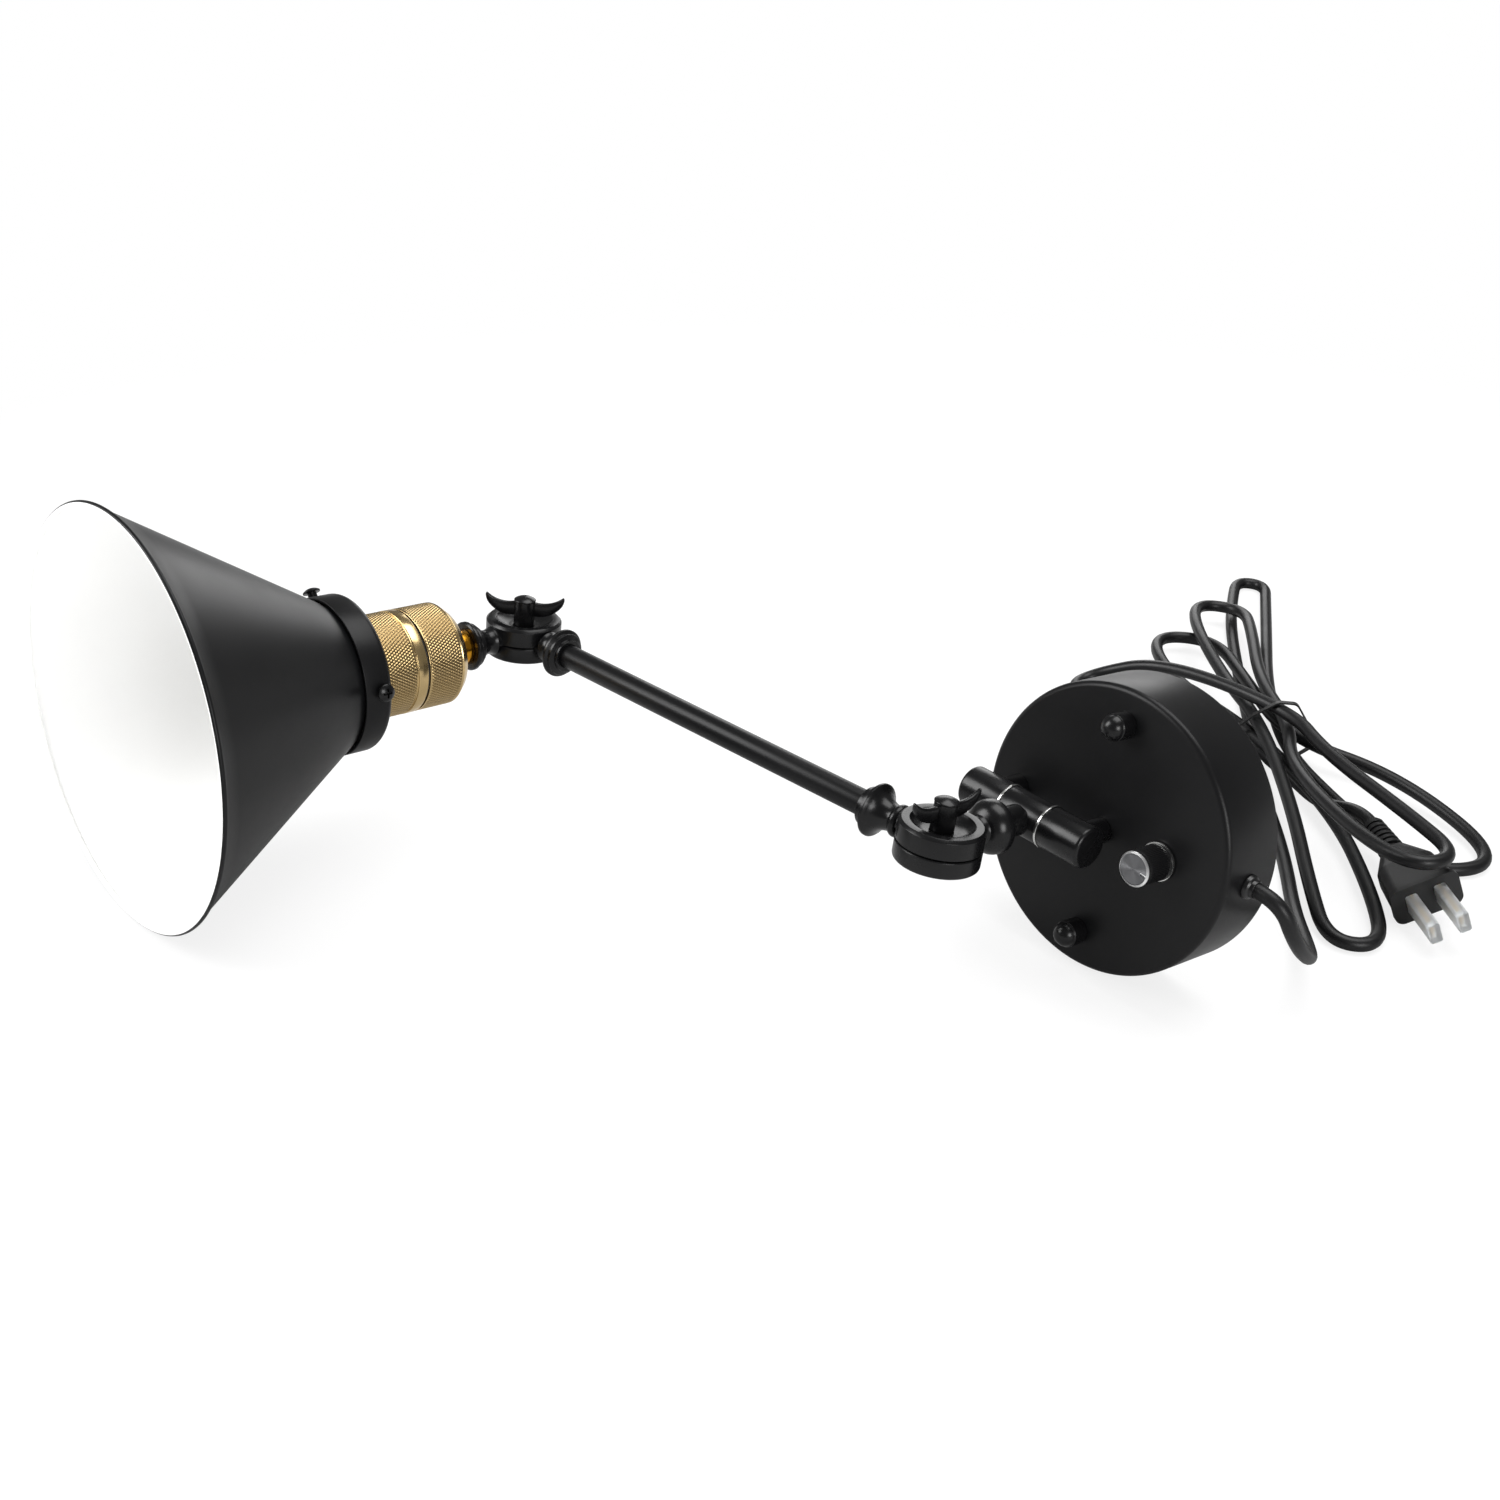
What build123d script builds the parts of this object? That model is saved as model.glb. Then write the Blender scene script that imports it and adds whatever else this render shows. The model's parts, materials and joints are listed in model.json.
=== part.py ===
from build123d import *
from math import asin, cos, pi, radians, sin, sqrt, tan
import os

# An articulating plug-in wall lamp, lying on a table as it comes out of its box:
# the canopy stands on its back edge, the shade on its rim, and the tied cord lies beside them.
# All sizes are in millimetres. The lamp is built in its own axes: x runs along the swivel barrel
# towards the cord exit, y along the line of the two cap nuts, and z straight out of the wall.
# The last step lays every piece down, so that the row's +Z is up and the table is level.

# Canopy and wall bracket
canopy_diameter = 120.0
canopy_depth = 32.0
canopy_wall = 1.0
canopy_edge_radius = 2.5
cap_nut_spacing = 91.3
stud_diameter = 4.0
stud_proud = 7.0
cap_nut_diameter = 11.0
cap_nut_collar = 8.0
cap_nut_dome = 4.3
bracket_length = 104.0
bracket_width = 16.0
bracket_sheet = 1.6
box_screw_spacing = 70.0
box_screw_hole = 4.6
lock_nut_height = 3.2
lock_nut_flats = 7.0

# Swivel fork on the canopy
fork_offset = -22.0
post_spacing = 44.0
post_diameter = 10.8
post_bore = 6.4
fork_stand_off = 18.5
barrel_diameter = 17.6
barrel_half_length = 31.8
barrel_edge_radius = 1.6
centre_half_length = 10.1
ring_washer_width = 1.0
ring_washer_proud = 0.4
swivel_pin_diameter = 8.0
swivel_pin_half_length = 26.0
post_screw_length = 9.0

# Stub and knuckles, measured along the link from the knuckle's centre
stub_reach = 52.3
stub_diameter = 12.8
disc_diameter = 34.4
disc_top = 8.2
disc_bottom = 8.2
seam_height = -0.6
seam_gap = 0.5
friction_washer_diameter = 30.0
dish_diameter = 25.8
dish_depth = 3.2
dish_floor_diameter = 13.0
dish_step = 0.6
flange_diameter = 22.2
throat_diameter = 11.2
mushroom_end = 31.2
bell_end = 36.0
arm_outer_end = 31.6
head_neck_end = 32.0
knuckle_nut_flats = 8.0
knuckle_nut_height = 4.0
wing_screw_shank = 4.8
wing_hub_diameter = 9.6
wing_hub_top = 16.4
wing_dome_top = 18.6
wing_dome_diameter = 10.2
wing_span = 36.0
wing_tip_height = 19.3
wing_thickness = 2.2

# Arm tube and the pose that the lamp lies in
arm_length = 244.8
tube_diameter = 10.8
tube_wall = 1.0
tube_socket = 6.0
arm_angle = -83.7
arm_twist = -3.1
head_angle = 85.5
wing_1_angle = 82.0
wing_2_angle = 139.0
canopy_tilt = 8.0

# Lamp head, measured out along the head from the second knuckle's centre
nipple_diameter = 16.3
cap_rear = 43.6
cap_front = 64.8
socket_diameter = 45.8
socket_wall = 1.0
cap_shoulder = 4.0
cap_shoulder_drop = 3.4
gasket_width = 1.0
gasket_inset = 1.0
shell_band = 4.8
shell_groove = 0.6
collar_rear = 90.3
collar_front = 103.3
collar_diameter = 68.6
collar_wall = 1.2
collar_rear_radius = 3.0
shade_diameter = 175.6
shade_rim = 195.1
shade_neck_diameter = 59.6
shade_neck_rear = 93.5
shade_neck_length = 5.4
shade_wall = 0.8
lip_radius = 1.1
insulator_diameter = 37.6
insulator_mouth = 106.0
lamp_thread_bore = 26.4
screw_shell_wall = 0.5
screw_shell_length = 20.0
contact_drop = 1.5
shade_ring_diameter = 49.0
shade_ring_height = 4.0
collar_screw_diameter = 4.0
collar_screw_head = 7.6
collar_screw_stand_off = 2.8
collar_screw_reach = 95.9
collar_screw_angle = 8.7
collar_screw_count = 3

# Dimmer
knob_offset = 29.4
knob_diameter = 14.2
knob_base_diameter = 14.8
knob_lift = 0.8
knob_height = 16.5
knob_cap_height = 1.0
knob_ring_diameter = 15.6
knob_ring_width = 0.8
knob_recess = 3.4
knob_notch_angle = -10.0
dimmer_length = 26.0
dimmer_width = 20.0
dimmer_depth = 12.0
bushing_diameter = 7.0
shaft_diameter = 6.0
bushing_nut_flats = 10.0
bushing_nut_height = 2.0

# Cord
cord_diameter = 6.4
cord_exit_depth = 16.0
grommet_flange_diameter = 10.4
grommet_flange = 1.8
grommet_neck_diameter = 8.6
grommet_reach = 4.0

# Hank: where it is tied, and how its strands are stacked there
tie_x = -60.0
tie_y = 180.0
tie_heading = 135.0
strand_pitch = 7.2
layer_pitch = 7.4
tie_band = 0.8
tie_width = 2.5
tie_slack = 0.4
tie_tail = 9.0

# Plug, measured out from where the cord enters it
plug_x = 21.0
plug_y = 144.5
plug_heading = -34.0
plug_roll = 25.0
relief_length = 26.0
relief_diameter = 11.0
relief_ribs = 6
plug_length = 34.0
plug_width = 29.0
plug_thickness = 17.0
plug_flange = 2.4
plug_flange_proud = 0.8
plug_corner = 4.4
blade_spacing = 12.7
blade_width = 6.35
blade_thickness = 1.5
blade_length = 17.5
blade_cover_width = 10.0
blade_cover_thickness = 5.4
blade_cover_length = 23.0
blade_play = 0.25

# Clearances, all of them radial or face to face
running_fit = 0.05
screw_play = 0.3
seat_play = 0.05
body_gap = 0.1

os.makedirs("parts", exist_ok=True)


# Where each link sits on the one before it
def along(distance):
    return Pos(0, 0, distance)


barrel_seat = Pos(fork_offset, 0, canopy_depth + fork_stand_off)
knuckle_1_seat = barrel_seat * along(stub_reach)
arm_seat = knuckle_1_seat * Rot(0, arm_angle, 0)
knuckle_2_seat = arm_seat * along(arm_length) * Rot(0, 0, arm_twist)
head_seat = knuckle_2_seat * Rot(0, head_angle, 0)
knob_seat = Pos(knob_offset, 0, canopy_depth)


# The lamp rolls about the wall normal until the shade's rim touches the table too
def height_of_rim(roll):
    lay = Rot(-canopy_tilt, 0, 0) * Rot(0, roll, 0) * Rot(90, 0, 0)
    rim = lay * head_seat * along(shade_rim)
    outward = (lay * head_seat * along(shade_rim + 1)).position - rim.position
    return rim.position.Z - shade_diameter / 2 * sqrt(1 - outward.Z**2)


table = -canopy_diameter / 2 * cos(radians(canopy_tilt))


def roll_onto_table():
    low, high = -12.0, 20.0
    for _ in range(40):
        middle = (low + high) / 2
        if height_of_rim(middle) < table:
            low = middle
        else:
            high = middle
    return middle


lie_roll = roll_onto_table()
lay_down = Rot(-canopy_tilt, 0, 0) * Rot(0, lie_roll, 0) * Rot(90, 0, 0)
print("roll about the wall normal", round(lie_roll, 3), "table at", round(table, 3))


# A turned piece: closed outline of (radius, height) points, some corners rounded
def turned(points, rounds=()):
    outline = make_face(Polyline(*points, close=True))
    for corner, radius in rounds:
        vertex = outline.vertices().sort_by_distance(corner)[0]
        outline = fillet(vertex, radius)
    return revolve(Plane.XZ * outline, Axis.Z)


# The same from edges already joined into a closed line
def turned_line(line):
    return revolve(Plane.XZ * make_face(line), Axis.Z)


def rod(radius, start, end):
    return Pos(0, 0, (start + end) / 2) * Cylinder(radius, abs(end - start))


def tube(outer, inner, start, end):
    return rod(outer, start, end) - rod(inner, start - 1, end + 1)


def hex_nut(flats, height, bore):
    body = extrude(RegularPolygon(flats / 2, 6, major_radius=False), height)
    return body - rod(bore, -1, height + 1)


# Turns a piece built along z so that it points along x or along y
along_x = Rot(0, 90, 0)
along_y = Rot(-90, 0, 0)

nodes = {}


def keep(name, *solids):
    laid = [lay_down * solid for solid in solids]
    nodes[name] = laid[0] if len(laid) == 1 else Compound(laid)


# The middle point of the arc that domes up from (radius, low) to (0, high) about the axis
def dome_middle(radius, low, high):
    rise = high - low
    ball = (radius**2 + rise**2) / (2 * rise)
    half = asin(radius / ball) / 2 if rise < radius else (pi - asin(radius / ball)) / 2
    return (ball * sin(half), high - ball + ball * cos(half))


# Canopy, its bracket and its fasteners
def canopy_pan():
    radius = canopy_diameter / 2
    inner = radius - canopy_wall
    floor = canopy_depth - canopy_wall
    points = [(0, canopy_depth), (radius, canopy_depth), (radius, 0), (inner, 0), (inner, floor), (0, floor)]
    inner_round = canopy_edge_radius - canopy_wall
    rounds = [((radius, canopy_depth), canopy_edge_radius), ((inner, floor), inner_round)]
    pan = turned(points, rounds)
    for side in (-1, 1):
        pan -= Pos(0, side * cap_nut_spacing / 2, 0) * rod(stud_diameter / 2 + screw_play, floor - 1, canopy_depth + 1)
        post = Pos(fork_offset + side * post_spacing / 2, 0, 0)
        pan -= post * rod(post_bore / 2, floor - 1, canopy_depth + 1)
    pan -= Pos(knob_offset, 0, 0) * rod(bushing_diameter / 2 + screw_play, floor - 1, canopy_depth + 1)
    exit_hole = Pos(inner - 1, 0, cord_exit_depth) * along_x * rod(grommet_neck_diameter / 2, 0, canopy_wall + 3)
    return pan - exit_hole


def mounting_bracket():
    strip = SlotOverall(bracket_length, bracket_width)
    strip = extrude(Rot(0, 0, 90) * strip, bracket_sheet)
    strip -= rod(bracket_width / 4, -1, bracket_sheet + 1)
    for side in (-1, 1):
        strip -= Pos(0, side * cap_nut_spacing / 2, 0) * rod(stud_diameter / 2, -1, bracket_sheet + 1)
        strip -= Pos(0, side * box_screw_spacing / 2, 0) * rod(box_screw_hole / 2, -1, bracket_sheet + 1)
    return strip


def bracket_studs():
    stud = rod(stud_diameter / 2, 0, canopy_depth + stud_proud)
    stud = chamfer(stud.edges().sort_by(Axis.Z)[-1], 0.5)
    return [Pos(0, side * cap_nut_spacing / 2, 0) * stud for side in (-1, 1)]


def stud_lock_nuts():
    nut = Pos(0, 0, bracket_sheet) * hex_nut(lock_nut_flats, lock_nut_height, stud_diameter / 2)
    return [Pos(0, side * cap_nut_spacing / 2, 0) * nut for side in (-1, 1)]


def cap_nuts():
    radius = cap_nut_diameter / 2
    shoulder = radius - 0.4
    crown = cap_nut_collar + cap_nut_dome
    line = Polyline((0, crown), (0, stud_proud + 0.5), (stud_diameter / 2, stud_proud + 0.5))
    line += Polyline((stud_diameter / 2, stud_proud + 0.5), (stud_diameter / 2, 0), (radius, 0))
    line += Polyline((radius, 0), (radius, cap_nut_collar - 0.4), (shoulder, cap_nut_collar))
    middle = dome_middle(shoulder, cap_nut_collar, crown)
    line += ThreePointArc((shoulder, cap_nut_collar), middle, (0, crown))
    nut = Pos(0, 0, canopy_depth) * turned_line(line)
    return [Pos(0, side * cap_nut_spacing / 2, 0) * nut for side in (-1, 1)]


# The fork: two posts carry the outer barrel segments, and the middle one swings between them
def fork_post(side):
    post = tube(post_diameter / 2, post_bore / 2, canopy_depth, canopy_depth + fork_stand_off)
    seat = Pos(0, 0, canopy_depth + fork_stand_off) * along_x * rod(barrel_diameter / 2, -20, 20)
    return Pos(fork_offset + side * post_spacing / 2, 0, 0) * (post - seat)


def post_screw(side):
    floor = canopy_depth - canopy_wall
    head = turned(
        [(0, floor), (post_diameter / 2, floor), (post_diameter / 2 - 0.6, floor - 2.2), (0, floor - 2.2)]
    )
    shank = rod(post_bore / 2, floor, floor + post_screw_length)
    hole = rod(post_bore / 4, floor - 3, floor + post_screw_length + 1)
    return Pos(fork_offset + side * post_spacing / 2, 0, 0) * (head + shank - hole)


def barrel_end(side):
    radius = barrel_diameter / 2
    start = centre_half_length + body_gap + ring_washer_width
    bore = swivel_pin_diameter / 2 + seat_play
    bottom = swivel_pin_half_length + seat_play
    points = [(bore, start), (radius, start), (radius, barrel_half_length), (0, barrel_half_length)]
    points += [(0, bottom), (bore, bottom)]
    end = turned(points, [((radius, barrel_half_length), barrel_edge_radius)])
    return barrel_seat * Rot(0, side * 90, 0) * end


def swivel_pin():
    pin = tube(swivel_pin_diameter / 2, 2.6, -swivel_pin_half_length, swivel_pin_half_length)
    return barrel_seat * along_x * pin


def ring_washers():
    radius = barrel_diameter / 2 + ring_washer_proud
    start = centre_half_length + body_gap
    bore = swivel_pin_diameter / 2 + seat_play
    points = [(bore, start), (radius, start), (radius, start + ring_washer_width), (bore, start + ring_washer_width)]
    washer = turned(points)
    return [barrel_seat * Rot(0, side * 90, 0) * washer for side in (-1, 1)]


def swivel_centre():
    radius = barrel_diameter / 2
    bore = swivel_pin_diameter / 2 + running_fit
    barrel = along_x * rod(radius, -centre_half_length, centre_half_length)
    stub = rod(stub_diameter / 2, 0, stub_reach - mushroom_end)
    return barrel_seat * (barrel + stub - along_x * rod(bore, -20, 20))


# Knuckle halves: a dished upper disc on the outer link, a plain lower one on the inner link
def upper_disc():
    radius = disc_diameter / 2
    seam = seam_height + seam_gap / 2
    bore = wing_screw_shank / 2 + screw_play
    rim = dish_diameter / 2
    floor = dish_floor_diameter / 2
    low = disc_top - dish_depth
    line = Polyline((bore, low), (bore, seam), (radius - 0.4, seam), (radius, seam + 0.4))
    line += Polyline((radius, seam + 0.4), (radius, disc_top - 1.2), (radius - 1.2, disc_top), (rim, disc_top))
    line += Line((rim, disc_top), (rim - 0.5, disc_top - dish_step))
    bowl = (floor + (rim - floor) * 0.42, low + (dish_depth - dish_step) * 0.22)
    line += ThreePointArc((rim - 0.5, disc_top - dish_step), bowl, (floor, low))
    line += Line((floor, low), (bore, low))
    return along_y * turned_line(line)


def lower_disc():
    radius = disc_diameter / 2
    seam = seam_height - seam_gap / 2
    bore = wing_screw_shank / 2 + screw_play
    points = [(bore, seam), (radius - 0.4, seam), (radius, seam - 0.4), (radius, -disc_bottom)]
    points += [(radius - 3.2, -disc_bottom), (radius - 3.8, -disc_bottom + 0.6), (bore, -disc_bottom + 0.6)]
    disc = turned(points, [((radius, -disc_bottom), 1.2)])
    pocket = extrude(RegularPolygon(knuckle_nut_flats / 2 + seat_play, 6, major_radius=False), knuckle_nut_height)
    return along_y * (disc - Pos(0, 0, -disc_bottom - 0.01) * pocket)


# Cuts a neck off the other half's side of the seam, inside the disc
def trim_neck(neck, keeps_upper):
    radius = disc_diameter / 2 + 0.4
    bore = wing_screw_shank / 2 + screw_play
    if keeps_upper:
        away = rod(radius, -30, seam_height + seam_gap / 2)
    else:
        away = rod(radius, seam_height - seam_gap / 2, 30)
    core = rod(disc_diameter / 2 - 2.0, -30, 30)
    return neck - along_y * away - along_y * core - along_y * rod(bore, -30, 30)


def knuckle_upper(neck):
    return upper_disc() + trim_neck(neck, True)


def knuckle_lower(neck):
    return lower_disc() + trim_neck(neck, False)


neck_root = 10.0


# Wall side of the first knuckle: a round mushroom over the stub
def mushroom_neck():
    throat = throat_diameter / 2
    flange = flange_diameter / 2
    line = Polyline((0, neck_root), (throat + 0.5, neck_root), (throat + 0.5, 17.6))
    line += ThreePointArc((throat + 0.5, 17.6), (throat - 0.1, 20.0), (throat + 0.6, 22.4))
    line += ThreePointArc((throat + 0.6, 22.4), (flange - 1.3, 25.2), (flange, mushroom_end - 1.2))
    line += Polyline((flange, mushroom_end - 1.2), (flange, mushroom_end), (0, mushroom_end), (0, neck_root))
    return Rot(180, 0, 0) * turned_line(line)


# Inner end of the arm: a bead, a long bell and two steps down to the tube
def bell_neck():
    throat = throat_diameter / 2
    flange = flange_diameter / 2
    mouth = tube_diameter / 2 + seat_play
    line = Polyline((0, neck_root), (throat, neck_root), (throat, 17.8))
    line += ThreePointArc((throat, 17.8), (throat + 1.2, 19.7), (throat, 21.6))
    line += ThreePointArc((throat, 21.6), (throat + 1.1, 26.4), (flange - 0.5, 30.3))
    line += Polyline((flange - 0.5, 30.3), (flange, 30.8), (flange, 31.8), (flange - 1.4, 32.4), (flange - 1.4, 33.2))
    line += Polyline((flange - 1.4, 33.2), (flange - 3.1, 33.8), (flange - 3.1, bell_end), (mouth, bell_end))
    line += Polyline((mouth, bell_end), (mouth, bell_end - tube_socket), (0, bell_end - tube_socket), (0, neck_root))
    return turned_line(line)


# Outer end of the arm: a wide flange and two smaller rings round the tube
def ringed_neck():
    throat = throat_diameter / 2
    flange = flange_diameter / 2
    mouth = tube_diameter / 2 + seat_play
    line = Polyline((0, neck_root), (throat + 1.4, neck_root), (throat + 1.4, 17.8))
    line += ThreePointArc((throat + 1.4, 17.8), (throat + 0.5, 21.6), (flange - 0.6, 25.8))
    line += Polyline((flange - 0.6, 25.8), (flange, 26.3), (flange, 27.4), (flange - 1.5, 28.0), (flange - 1.5, 29.4))
    line += Polyline((flange - 1.5, 29.4), (flange - 3.8, 29.9), (flange - 3.8, arm_outer_end), (mouth, arm_outer_end))
    line += Polyline(
        (mouth, arm_outer_end), (mouth, arm_outer_end - tube_socket), (0, arm_outer_end - tube_socket), (0, neck_root)
    )
    return Rot(180, 0, 0) * turned_line(line)


# Inner end of the head: a waist, a bead and a double ring behind the brass nipple
def head_neck():
    throat = throat_diameter / 2
    flange = flange_diameter / 2
    line = Polyline((0, neck_root), (throat + 0.9, neck_root), (throat + 0.9, 17.6))
    line += ThreePointArc((throat + 0.9, 17.6), (throat, 20.4), (throat + 2.2, 25.4))
    line += Polyline((throat + 2.2, 25.4), (throat + 2.9, 26.0), (throat + 2.9, 26.8), (flange - 1.2, 27.6))
    line += Polyline((flange - 1.2, 27.6), (flange - 1.2, 28.8), (flange - 1.7, 29.2), (flange, 29.9))
    line += Polyline((flange, 29.9), (flange, 31.2), (flange - 0.8, head_neck_end), (0, head_neck_end), (0, neck_root))
    return turned_line(line)


def friction_washer():
    bore = wing_screw_shank / 2 + screw_play
    low = seam_height - seam_gap / 2
    ring = tube(friction_washer_diameter / 2, bore, low, low + seam_gap)
    return along_y * ring


def knuckle_nut():
    nut = hex_nut(knuckle_nut_flats, knuckle_nut_height - 0.6, wing_screw_shank / 2 + running_fit)
    return along_y * Pos(0, 0, -disc_bottom + 0.5) * nut


# Thumb screw with two horns that curve up to points
def wing_screw():
    hub = wing_hub_diameter / 2
    dome = wing_dome_diameter / 2
    shank = wing_screw_shank / 2
    seat = disc_top - dish_depth
    low = -disc_bottom + 1.0
    line = Polyline((0, low), (shank, low), (shank, seat), (hub, seat), (hub, wing_hub_top))
    line += Line((hub, wing_hub_top), (dome, wing_hub_top + 0.5))
    middle = dome_middle(dome, wing_hub_top + 0.5, wing_dome_top)
    line += ThreePointArc((dome, wing_hub_top + 0.5), middle, (0, wing_dome_top))
    line += Line((0, wing_dome_top), (0, low))
    screw = turned_line(line)
    tip = wing_span / 2
    root = hub - 1.5
    lower_root = wing_hub_top - 7.0
    edge = ThreePointArc((root, lower_root), (tip * 0.72, wing_hub_top - 5.2), (tip, wing_tip_height))
    edge += ThreePointArc((tip, wing_tip_height), (tip * 0.66, wing_hub_top + 0.1), (root, wing_hub_top))
    edge += Line((root, wing_hub_top), (root, lower_root))
    wing = extrude(Plane.XZ * make_face(edge), wing_thickness / 2, both=True)
    screw = screw + wing + Rot(0, 0, 180) * wing
    return along_y * screw


def arm_tube():
    start = bell_end - tube_socket
    end = arm_length - arm_outer_end + tube_socket
    return tube(tube_diameter / 2, tube_diameter / 2 - tube_wall, start, end)


# Lamp head
def brass_nipple():
    radius = nipple_diameter / 2
    points = [(0, head_neck_end), (radius, head_neck_end), (radius, cap_rear), (0, cap_rear)]
    return turned(points, [((radius, head_neck_end), 0.5)])


def socket_cap():
    outer = socket_diameter / 2
    inner = outer - socket_wall
    shoulder = outer - cap_shoulder_drop
    points = [(0, cap_rear), (shoulder, cap_rear), (outer, cap_rear + cap_shoulder), (outer, cap_front)]
    points += [(inner, cap_front), (inner, cap_rear + cap_shoulder), (shoulder - 0.6, cap_rear + socket_wall)]
    points += [(0, cap_rear + socket_wall)]
    return turned(points, [((shoulder, cap_rear), 0.8), ((outer, cap_rear + cap_shoulder), 0.8)])


def socket_gasket():
    outer = socket_diameter / 2 - gasket_inset
    return tube(outer, outer - 3.0, cap_front, cap_front + gasket_width)


def socket_shell():
    outer = socket_diameter / 2
    inner = outer - socket_wall
    start = cap_front + gasket_width
    band = start + shell_band
    lip = insulator_diameter / 2 + screw_play
    groove = outer - shell_groove / 2
    points = [(inner, start), (outer, start), (outer, band), (groove, band), (groove, band + shell_groove)]
    points += [(outer, band + shell_groove), (outer, collar_rear), (lip, collar_rear), (lip, collar_rear - socket_wall)]
    points += [(inner, collar_rear - socket_wall)]
    return turned(points, [((outer, start), 0.4)])


def socket_insulator():
    body = insulator_diameter / 2
    shoulder = socket_diameter / 2 - socket_wall - seat_play
    bore = lamp_thread_bore / 2 + screw_shell_wall + seat_play
    start = cap_front + gasket_width
    back = insulator_mouth - screw_shell_length - 4.0
    lip = collar_rear - socket_wall
    points = [(5.0, start), (body, start), (body, lip - 5.0), (shoulder, lip - 5.0), (shoulder, lip), (body, lip)]
    points += [(body, insulator_mouth), (bore, insulator_mouth), (bore, back), (5.0, back)]
    return turned(points, [((body, insulator_mouth), 0.8)])


def screw_shell():
    inner = lamp_thread_bore / 2
    outer = inner + screw_shell_wall
    end = insulator_mouth - 1.5
    start = insulator_mouth - screw_shell_length - 4.0
    points = [(outer, end), (inner, end), (inner, start + screw_shell_wall), (7.0, start + screw_shell_wall)]
    points += [(7.0, start), (outer, start)]
    return turned(points)


def centre_contact():
    middle = insulator_mouth - screw_shell_length - 4.0 - contact_drop
    foot = Pos(0, 0, middle - 7.4) * Box(4.0, 8.4, 8.0)
    tongue = Pos(0, 0, middle) * Rot(14, 0, 0) * Box(4.0, 9.0, 0.5)
    web = Pos(0, 0, middle - 2.0) * Box(3.0, 2.0, 4.4)
    return foot + tongue + web


def shade_collar():
    outer = collar_diameter / 2
    inner = outer - collar_wall
    hole = insulator_diameter / 2 + screw_play
    points = [(hole, collar_rear), (outer, collar_rear), (outer, collar_front), (inner, collar_front)]
    points += [(inner, collar_rear + collar_wall), (hole, collar_rear + collar_wall)]
    rounds = [((outer, collar_rear), collar_rear_radius)]
    rounds += [((inner, collar_rear + collar_wall), collar_rear_radius - collar_wall)]
    collar = turned(points, rounds)
    for seat in collar_screw_seats():
        collar -= seat * rod(collar_screw_diameter / 2, inner - 4, outer + 4)
    return collar


def collar_screw_seats():
    step = 360 / collar_screw_count
    seats = []
    for index in range(collar_screw_count):
        turn = Rot(0, 0, collar_screw_angle + index * step)
        seats.append(Pos(0, 0, collar_screw_reach) * turn * along_x)
    return seats


def collar_screws():
    tip = shade_neck_diameter / 2
    under_head = collar_diameter / 2 + collar_screw_stand_off
    head = collar_screw_head / 2
    shank = collar_screw_diameter / 2
    line = Polyline((0, tip), (shank - 0.6, tip), (shank, tip + 0.6), (shank, under_head), (head, under_head))
    line += Line((head, under_head), (head, under_head + 0.7))
    middle = dome_middle(head, under_head + 0.7, under_head + 2.1)
    line += ThreePointArc((head, under_head + 0.7), middle, (0, under_head + 2.1))
    line += Line((0, under_head + 2.1), (0, tip))
    screw = turned_line(line)
    return [seat * screw for seat in collar_screw_seats()]


def shade_ring():
    inner = insulator_diameter / 2 + 0.1
    start = collar_rear + collar_wall
    ring = tube(shade_ring_diameter / 2, inner, start, start + shade_ring_height)
    for index in range(8):
        grip = Rot(0, 0, index * 45) * Pos(shade_ring_diameter / 2 + 0.6, 0, 0)
        ring -= grip * rod(1.6, start - 1, start + shade_ring_height + 1)
    return ring


def lamp_shade():
    neck = shade_neck_diameter / 2
    rim = shade_diameter / 2 - lip_radius
    end = shade_rim - lip_radius
    start = shade_neck_rear
    flare = start + shade_neck_length
    slope = (rim - neck) / (end - flare)
    side = shade_wall * sqrt(1 + slope**2)
    wall = shade_wall
    points = [(neck, start), (neck, flare), (rim, end), (rim - side, end)]
    points += [(neck - wall, flare + (side - wall) / slope), (neck - wall, start)]
    shade = turned(points, [((neck, flare), 2.5)])
    lip = revolve(Plane.XZ * Pos(rim - side / 2, end) * Circle(lip_radius), Axis.Z)
    return shade + lip


# Dimmer: body inside the canopy, shaft and knob outside
def dimmer_body():
    top = canopy_depth - canopy_wall
    box = Pos(0, 0, top - dimmer_depth / 2) * Box(dimmer_length, dimmer_width, dimmer_depth)
    box = fillet(box.edges().filter_by(Axis.Z), 1.5)
    bushing = rod(bushing_diameter / 2, top, canopy_depth + knob_recess - 0.4)
    bore = rod(shaft_diameter / 2 + running_fit, top - dimmer_depth + 3.0 - seat_play, top + 10)
    return Pos(knob_offset, 0, 0) * (box + bushing - bore)


def dimmer_nut():
    return knob_seat * hex_nut(bushing_nut_flats, bushing_nut_height, bushing_diameter / 2)


def dimmer_shaft():
    low = -canopy_wall - dimmer_depth + 3.0
    high = knob_height - knob_cap_height - 2.0
    shaft = rod(shaft_diameter / 2, low, high)
    flat = Pos(shaft_diameter / 2 + 0.5, 0, high - 3.0) * Box(3.0, 10.0, 6.0)
    return knob_seat * Rot(0, 0, knob_notch_angle) * (shaft - flat)


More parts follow.
